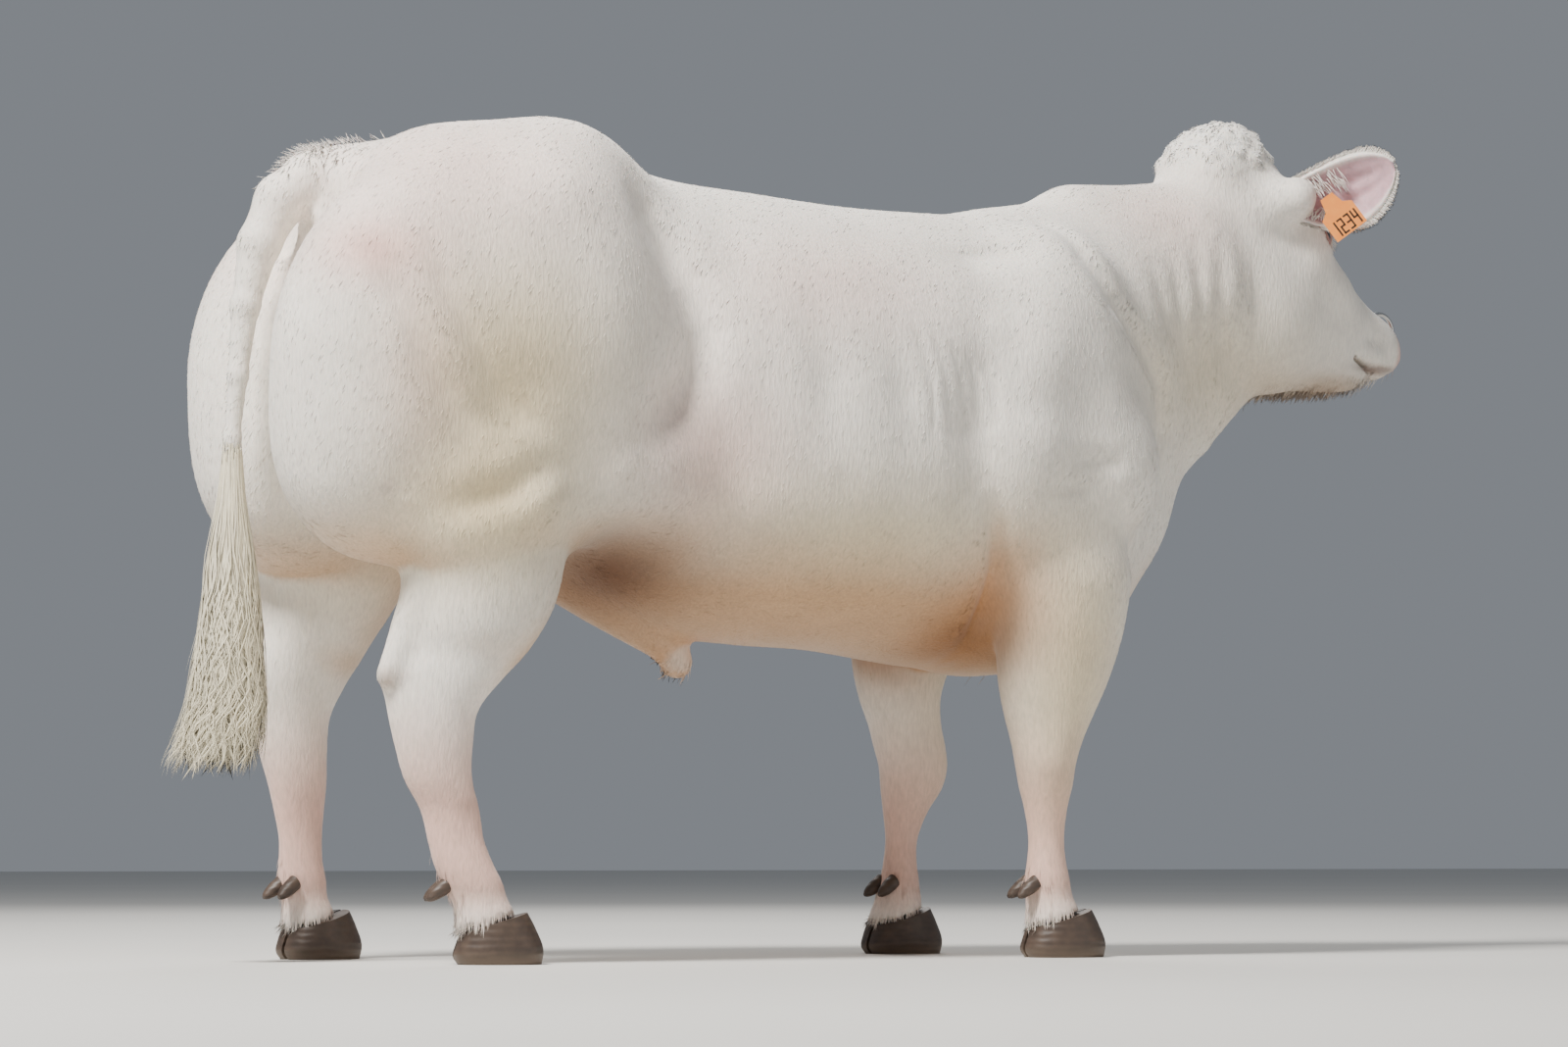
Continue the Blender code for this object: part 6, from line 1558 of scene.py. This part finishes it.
def eyes():
    """Both eyes: the ball, the rims of the lids, and the lashes."""
    for side, word in SIDES:
        centre, (slit, tall, gaze) = eye_place(side)
        b, a = np.meshgrid(np.pi * np.arange(1, 60) / 60, 2 * np.pi * np.arange(72) / 72, indexing="ij")
        local = np.stack([np.sin(b) * np.cos(a), np.sin(b) * np.sin(a), np.cos(b)], -1)
        bulge = 1 + 0.07 * np.exp(-((b / 0.55) ** 2))
        p = (centre + EYE * 0.985 * bulge[..., None]
             * (local[..., :1] * slit + local[..., 1:2] * tall + local[..., 2:] * gaze))
        ends = [centre + EYE * 0.985 * k * gaze for k in (1.07, -1.0)]
        around = a.shape[1]
        faces = grid_quads(*a.shape)[:, [0, 3, 2, 1]]
        total = len(p.reshape(-1, 3))
        ring = np.arange(around)
        tri = np.concatenate([faces[:, [0, 1, 2]], faces[:, [0, 2, 3]],
                              np.stack([np.full(around, total), ring, np.roll(ring, -1)], 1),
                              np.stack([np.full(around, total + 1), total - around + np.roll(ring, -1),
                                        total - around + ring], 1)])
        item = bring("eyeball_" + word, np.concatenate([p.reshape(-1, 3), ends]), tri, eye_material)
        across_eye = np.concatenate([(np.sin(b) * np.cos(a)).ravel(), [0, 0]])
        up_eye = np.concatenate([(np.sin(b) * np.sin(a)).ravel(), [0, 0]])
        front = np.concatenate([np.cos(b).ravel(), [1, -1]])
        off = np.hypot(across_eye, up_eye)
        pupil = 1 - ramp(np.hypot(across_eye / 0.36, up_eye / 0.17), 0.85, 1.1)
        iris = (1 - ramp(off, 0.60, 0.68)) * (front > 0)
        white = (linear("8C7468") * (1 - ramp(off, 0.62, 0.9))[:, None]
                 + linear("C9B8AE") * ramp(off, 0.62, 0.9)[:, None])
        streak = 0.75 + 0.25 * np.sin(np.arctan2(up_eye, across_eye) * 46)
        brown = linear("3E2417") * streak[:, None]
        colour = white * (1 - iris[:, None]) + brown * iris[:, None]
        colour = (colour * (1 - pupil[:, None] * (front > 0)[:, None])
                  + linear("06060A") * (pupil * (front > 0))[:, None])
        tint(item, colour)
        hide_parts("eye_" + word)
        # The rims follow the almond over the ball. The upper one is thicker and carries the lashes.
        turn = np.linspace(0, 2 * np.pi, 49)[:-1]
        lx = LID_WIDE * np.cos(turn)
        ly = LID_OPEN * np.sin(turn) * (1 - 0.25 * (np.cos(turn) ** 2)) + 0.0008
        lz = np.sqrt(np.maximum((EYE + 0.0012) ** 2 - lx**2 - ly**2, 0))
        line = centre + lx[:, None] * slit + ly[:, None] * tall + lz[:, None] * gaze
        thick = 0.0024 + 0.0010 * np.maximum(np.sin(turn), 0)
        forward = unit(np.roll(line, -1, 0) - np.roll(line, 1, 0))
        out_ = unit(line - centre)
        over = unit(np.cross(forward, out_))
        c = 2 * np.pi * np.arange(10) / 10
        tube_ = (line[:, None]
                 + thick[:, None, None]
                 * (np.cos(c)[None, :, None] * out_[:, None] + np.sin(c)[None, :, None] * over[:, None]))
        rim = bring("lid_" + word, tube_.reshape(-1, 3), grid_quads(48, 10, True), lid_material)
        outward(rim)
        pick = rng.integers(2, 23, LASHES)
        base = line[pick] + out_[pick] * 0.002
        aim = unit(out_[pick] * 1.0 + tall * 0.35 - gaze * 0.1 + slit * (np.cos(turn[pick]) * 0.5)[:, None]
                   + rng.normal(0, 0.08, (LASHES, 3)))
        t = np.linspace(0, 1, 5)
        span = rng.uniform(0.010, 0.017, LASHES)
        paths = base[:, None] + going(aim, span[:, None] * t)
        paths = paths - np.array([0, 0, 1.0]) * (span[:, None] * 0.45 * t * t)[:, :, None]
        chart = np.column_stack([0.05 + 0.9 * pick / 24, rng.uniform(0.1, 0.9, LASHES)])
        tufts("lashes_" + word, paths, np.tile(tall, (LASHES, 1)), 0.00035, 0.00035,
              np.tile(linear("EDE4D8"), (LASHES, 1)), chart, (1.0, 0.9, 0.75, 0.5), fur, 0.0)


eyes()


# Claws: dark horn, each half with its flat sole, growth rings and worn edge.
def horn_shader():
    """Claw horn: dull grey-brown keratin, ringed where it grew, paler and chipped at the ground."""
    made, tree, shader = surface("dark ringed claw horn")
    place = add(tree, "TexCoord")
    split = add(tree, "SeparateXYZ", {"Vector": place.outputs["Object"]})
    # Growth rings about 10 mm apart, over mottling about 17 mm across.
    rings = add(tree, "TexWave", {"Vector": place.outputs["Object"], "Scale": 32.0, "Distortion": 2.5,
                                  "Detail": 3.0}, bands_direction="Z")
    cloud, base = mottled(tree, 60.0, 5.0, "2B2320", "5A4A3E")
    wear = add(tree, "MapRange", {"Value": split.outputs["Z"], "From Min": 0.0, "From Max": 0.02,
                                  "To Min": 0.6, "To Max": 0.0})
    worn = add(tree, "MixRGB", {"Fac": wear.outputs["Result"], "Color1": base, "Color2": rgba("7C6A58")})
    height = add(tree, "Math", {0: rings.outputs["Fac"], 1: cloud}, operation="ADD")
    bump = add(tree, "Bump", {"Height": height.outputs["Value"], "Strength": 0.35, "Distance": 0.0012})
    join(tree, shader, worn.outputs["Color"], bump)
    shader.inputs["Roughness"].default_value = 0.5
    return made


horn = horn_shader()


def closed_piece(name, edit, material):
    """A piece from edited geometry, its faces turned outwards."""
    bmesh.ops.recalc_face_normals(edit, faces=edit.faces)
    data = bpy.data.meshes.new(name)
    edit.to_mesh(data)
    edit.free()
    return on_body(name, data, material)


def closed_loft(name, rings, material):
    """A closed solid through rings of places."""
    rings = np.array(rings)
    n, around = rings.shape[:2]
    edit = bmesh.new()
    verts = [[edit.verts.new(p + shift) for p in ring] for ring in rings]
    for i in range(n - 1):
        for j in range(around):
            k = (j + 1) % around
            edit.faces.new((verts[i][j], verts[i][k], verts[i + 1][k], verts[i + 1][j]))
    edit.faces.new(verts[0])
    edit.faces.new(verts[-1])
    item = closed_piece(name, edit, material)
    item.data.shade_smooth()
    item.data.set_sharp_from_angle(angle=math.radians(45))
    return item


def claws():
    """Two claws and two dewclaws on each foot."""
    for name, x, y, yaw, heel in feet():
        for side, word in SIDES:
            item = closed_loft("horn_%s_%s" % (name, word), claw_rings(x, y, yaw, side, 33, 12), horn)
            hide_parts("claw_%s_%s" % (name, word))
            item = closed_loft("dewhorn_%s_%s" % (name, word),
                               dewclaw_rings(x, y, yaw, heel, side, 20, 10), horn)
            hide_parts("dewclaw_%s_%s" % (name, word))


claws()


# Ear tags: orange plastic with plain figures, and the steel nose ring.
def tag_shader():
    """Polyurethane tag: orange, matt from weather, faintly mottled."""
    made, tree, shader = surface("weathered orange polyurethane")
    # Weathering in patches about 11 mm across.
    cloud, tone = mottled(tree, 90.0, 4.0, "E9822F", "F7A04A")
    bump = add(tree, "Bump", {"Height": cloud, "Strength": 0.15, "Distance": 0.0004})
    join(tree, shader, tone, bump)
    shader.inputs["Roughness"].default_value = 0.42
    shader.inputs["Subsurface Weight"].default_value = 0.1
    shader.inputs["Subsurface Radius"].default_value = (0.002, 0.001, 0.0005)
    return made


def steel_shader():
    """Polished steel ring: bright, with fine scratches from use."""
    made, tree, shader = surface("scratched polished steel")
    place = add(tree, "TexCoord")
    # Scuffs about 1 mm across, coarser than real ones so that they show.
    scratch = add(tree, "TexNoise", {"Vector": place.outputs["Object"], "Scale": 900.0, "Detail": 2.0})
    rough = add(tree, "MapRange", {"Value": scratch.outputs["Fac"], "To Min": 0.16, "To Max": 0.34})
    tree.links.new(rough.outputs["Result"], shader.inputs["Roughness"])
    shader.inputs["Base Color"].default_value = rgba("C8C8C6")
    shader.inputs["Metallic"].default_value = 1.0
    return made


ink = surface("matt black marking ink")
ink[2].inputs["Base Color"].default_value = rgba("1C1712")
ink[2].inputs["Roughness"].default_value = 0.7
orange, steel = tag_shader(), steel_shader()
for node_name in ("tag_right", "tag_left"):
    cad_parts[node_name].data.materials.clear()
    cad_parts[node_name].data.materials.append(orange)
# The figures: left edge, spacing, width, height, foot below the pin, and half a stroke.
FIGURE_LEFT = -0.0222
FIGURE_STEP = 0.0126
FIGURE_WIDE = 0.0066
FIGURE_TALL = 0.023
FIGURE_FOOT = 0.0515
STROKE = 0.0014
STROKES = {"1": "bc", "2": "abged", "3": "abgcd", "4": "fgbc"}
BARS = {"a": ((0, 1), (1, 1)), "b": ((1, 1), (1, 0.5)), "c": ((1, 0.5), (1, 0)), "d": ((0, 0), (1, 0)),
        "e": ((0, 0), (0, 0.5)), "f": ((0, 0.5), (0, 1)), "g": ((0, 0.5), (1, 0.5))}


def tag_figures():
    """Plain figures on both tags."""
    for side, word in SIDES:
        pin, n, along, down = tag_place(side)
        edit = bmesh.new()
        read = along if np.cross(-n, along) @ down > 0 else -along
        for k, figure in enumerate("1234"):
            for bar in STROKES[figure]:
                p0, p1 = (np.array([FIGURE_LEFT + FIGURE_STEP * k + FIGURE_WIDE * u,
                                    FIGURE_FOOT - FIGURE_TALL * v]) for u, v in BARS[bar])
                d = (p1 - p0) / np.linalg.norm(p1 - p0)
                o = np.array([-d[1], d[0]]) * STROKE
                flat = [p0 - d * STROKE - o, p1 + d * STROKE - o, p1 + d * STROKE + o, p0 - d * STROKE + o]
                rows = [[edit.verts.new(pin + shift + n * h + read * u + down * v) for u, v in flat]
                        for h in (TAG_LEVEL + TAG_THICK + 0.00005, TAG_LEVEL + TAG_THICK + 0.00025)]
                edit.faces.new(rows[0])
                edit.faces.new(rows[1])
                for i in range(4):
                    edit.faces.new((rows[0][i], rows[0][(i + 1) % 4], rows[1][(i + 1) % 4], rows[1][i]))
        item = closed_piece("figures_" + word, edit, ink[0])


tag_figures()


def nose_ring():
    """The steel ring, smooth and round."""
    thick = RING_MINOR - 0.0001
    f, t, b = frame_of(hp(0, 1, 0) - HEAD, (0.2, 0.1, 1.0))
    i, j = np.meshgrid(np.arange(RING_STEPS), np.arange(RING_SIDES), indexing="ij")
    u, v = 2 * np.pi * i / RING_STEPS, 2 * np.pi * j / RING_SIDES
    out = np.cos(u)[..., None] * t + np.sin(u)[..., None] * b
    p = RING_CENTRE + out * (RING_MAJOR + thick * np.cos(v))[..., None] + f * (thick * np.sin(v))[..., None]
    item = bring("steel_ring", p.reshape(-1, 3), grid_quads(RING_STEPS, RING_SIDES, True)[:, [0, 3, 2, 1]],
                 steel)
    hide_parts("nose_ring")


nose_ring()


# Camera: the photo's place, low, on the right and a little behind, in metres, degrees and pixels.
CAMERA_DISTANCE = 6.6
CAMERA_HEIGHT = 0.155
CAMERA_YAW = 26.0
PHOTO_WIDTH = 1600.0
PHOTO_MIDDLE_ROW = 534.0
HORIZON_ROW = 870.0
FOCAL_PIXELS = 4500.0
SENSOR = 36.0


def place_camera():
    """The camera, at the photo's place and angle."""
    yaw = math.radians(CAMERA_YAW)
    tilt = math.atan((HORIZON_ROW - PHOTO_MIDDLE_ROW) / FOCAL_PIXELS)
    lens = bpy.data.cameras.new("camera")
    lens.sensor_width = SENSOR
    lens.lens = SENSOR * FOCAL_PIXELS / PHOTO_WIDTH
    camera = bpy.data.objects.new("camera", lens)
    bpy.context.scene.collection.objects.link(camera)
    place = Vector((-CAMERA_DISTANCE * math.sin(yaw), -CAMERA_DISTANCE * math.cos(yaw), CAMERA_HEIGHT))
    camera.location = place + Vector(shift)
    camera.rotation_euler = (math.pi / 2 + tilt, 0.0, -yaw)
    bpy.context.scene.camera = camera


place_camera()


# Studio: a plain pale floor, with soft light from high behind the rump, low before the right shoulder,
# high on the far side, and all round.
def studio():
    """The floor and the lights."""
    made, tree, shader = surface("pale studio floor")
    grit = add(tree, "TexNoise", {"Scale": 40.0, "Detail": 4.0})
    tone = add(tree, "MixRGB", {"Fac": grit.outputs["Fac"], "Color1": rgba("C9C8C4"),
                                "Color2": rgba("D3D2CE")})
    tree.links.new(tone.outputs["Color"], shader.inputs["Base Color"])
    shader.inputs["Roughness"].default_value = 0.85
    data = bpy.data.meshes.new("floor")
    data.from_pydata([(-30, -30, 0), (30, -30, 0), (30, 30, 0), (-30, 30, 0)], [], [(0, 1, 2, 3)])
    data.materials.append(made)
    floor = bpy.data.objects.new("floor", data)
    bpy.context.scene.collection.objects.link(floor)
    world = bpy.data.worlds.new("studio")
    bpy.context.scene.world = world
    world.use_nodes = True
    world.node_tree.nodes["Background"].inputs["Color"].default_value = (0.80, 0.86, 0.95, 1.0)
    world.node_tree.nodes["Background"].inputs["Strength"].default_value = 0.27
    for name, place, aim, size, power in (("key", (-3.6, -1.5, 5.4), (-0.1, 0, 0.8), 1.4,
                                           860.0), ("fill", (3.2, -4.6, 1.8), (0.2, 0, 0.8), 3.0, 34.0),
                                          ("back", (1.5, 4.2, 4.0), (0, 0, 0.9), 2.5, 160.0)):
        lamp = bpy.data.lights.new(name, "AREA")
        lamp.size, lamp.energy = size, power
        lamp.color = (1.0, 0.965, 0.92)
        item = bpy.data.objects.new(name, lamp)
        bpy.context.scene.collection.objects.link(item)
        item.location = place
        item.rotation_euler = (Vector(aim) - Vector(place)).to_track_quat("-Z", "Y").to_euler()


studio()
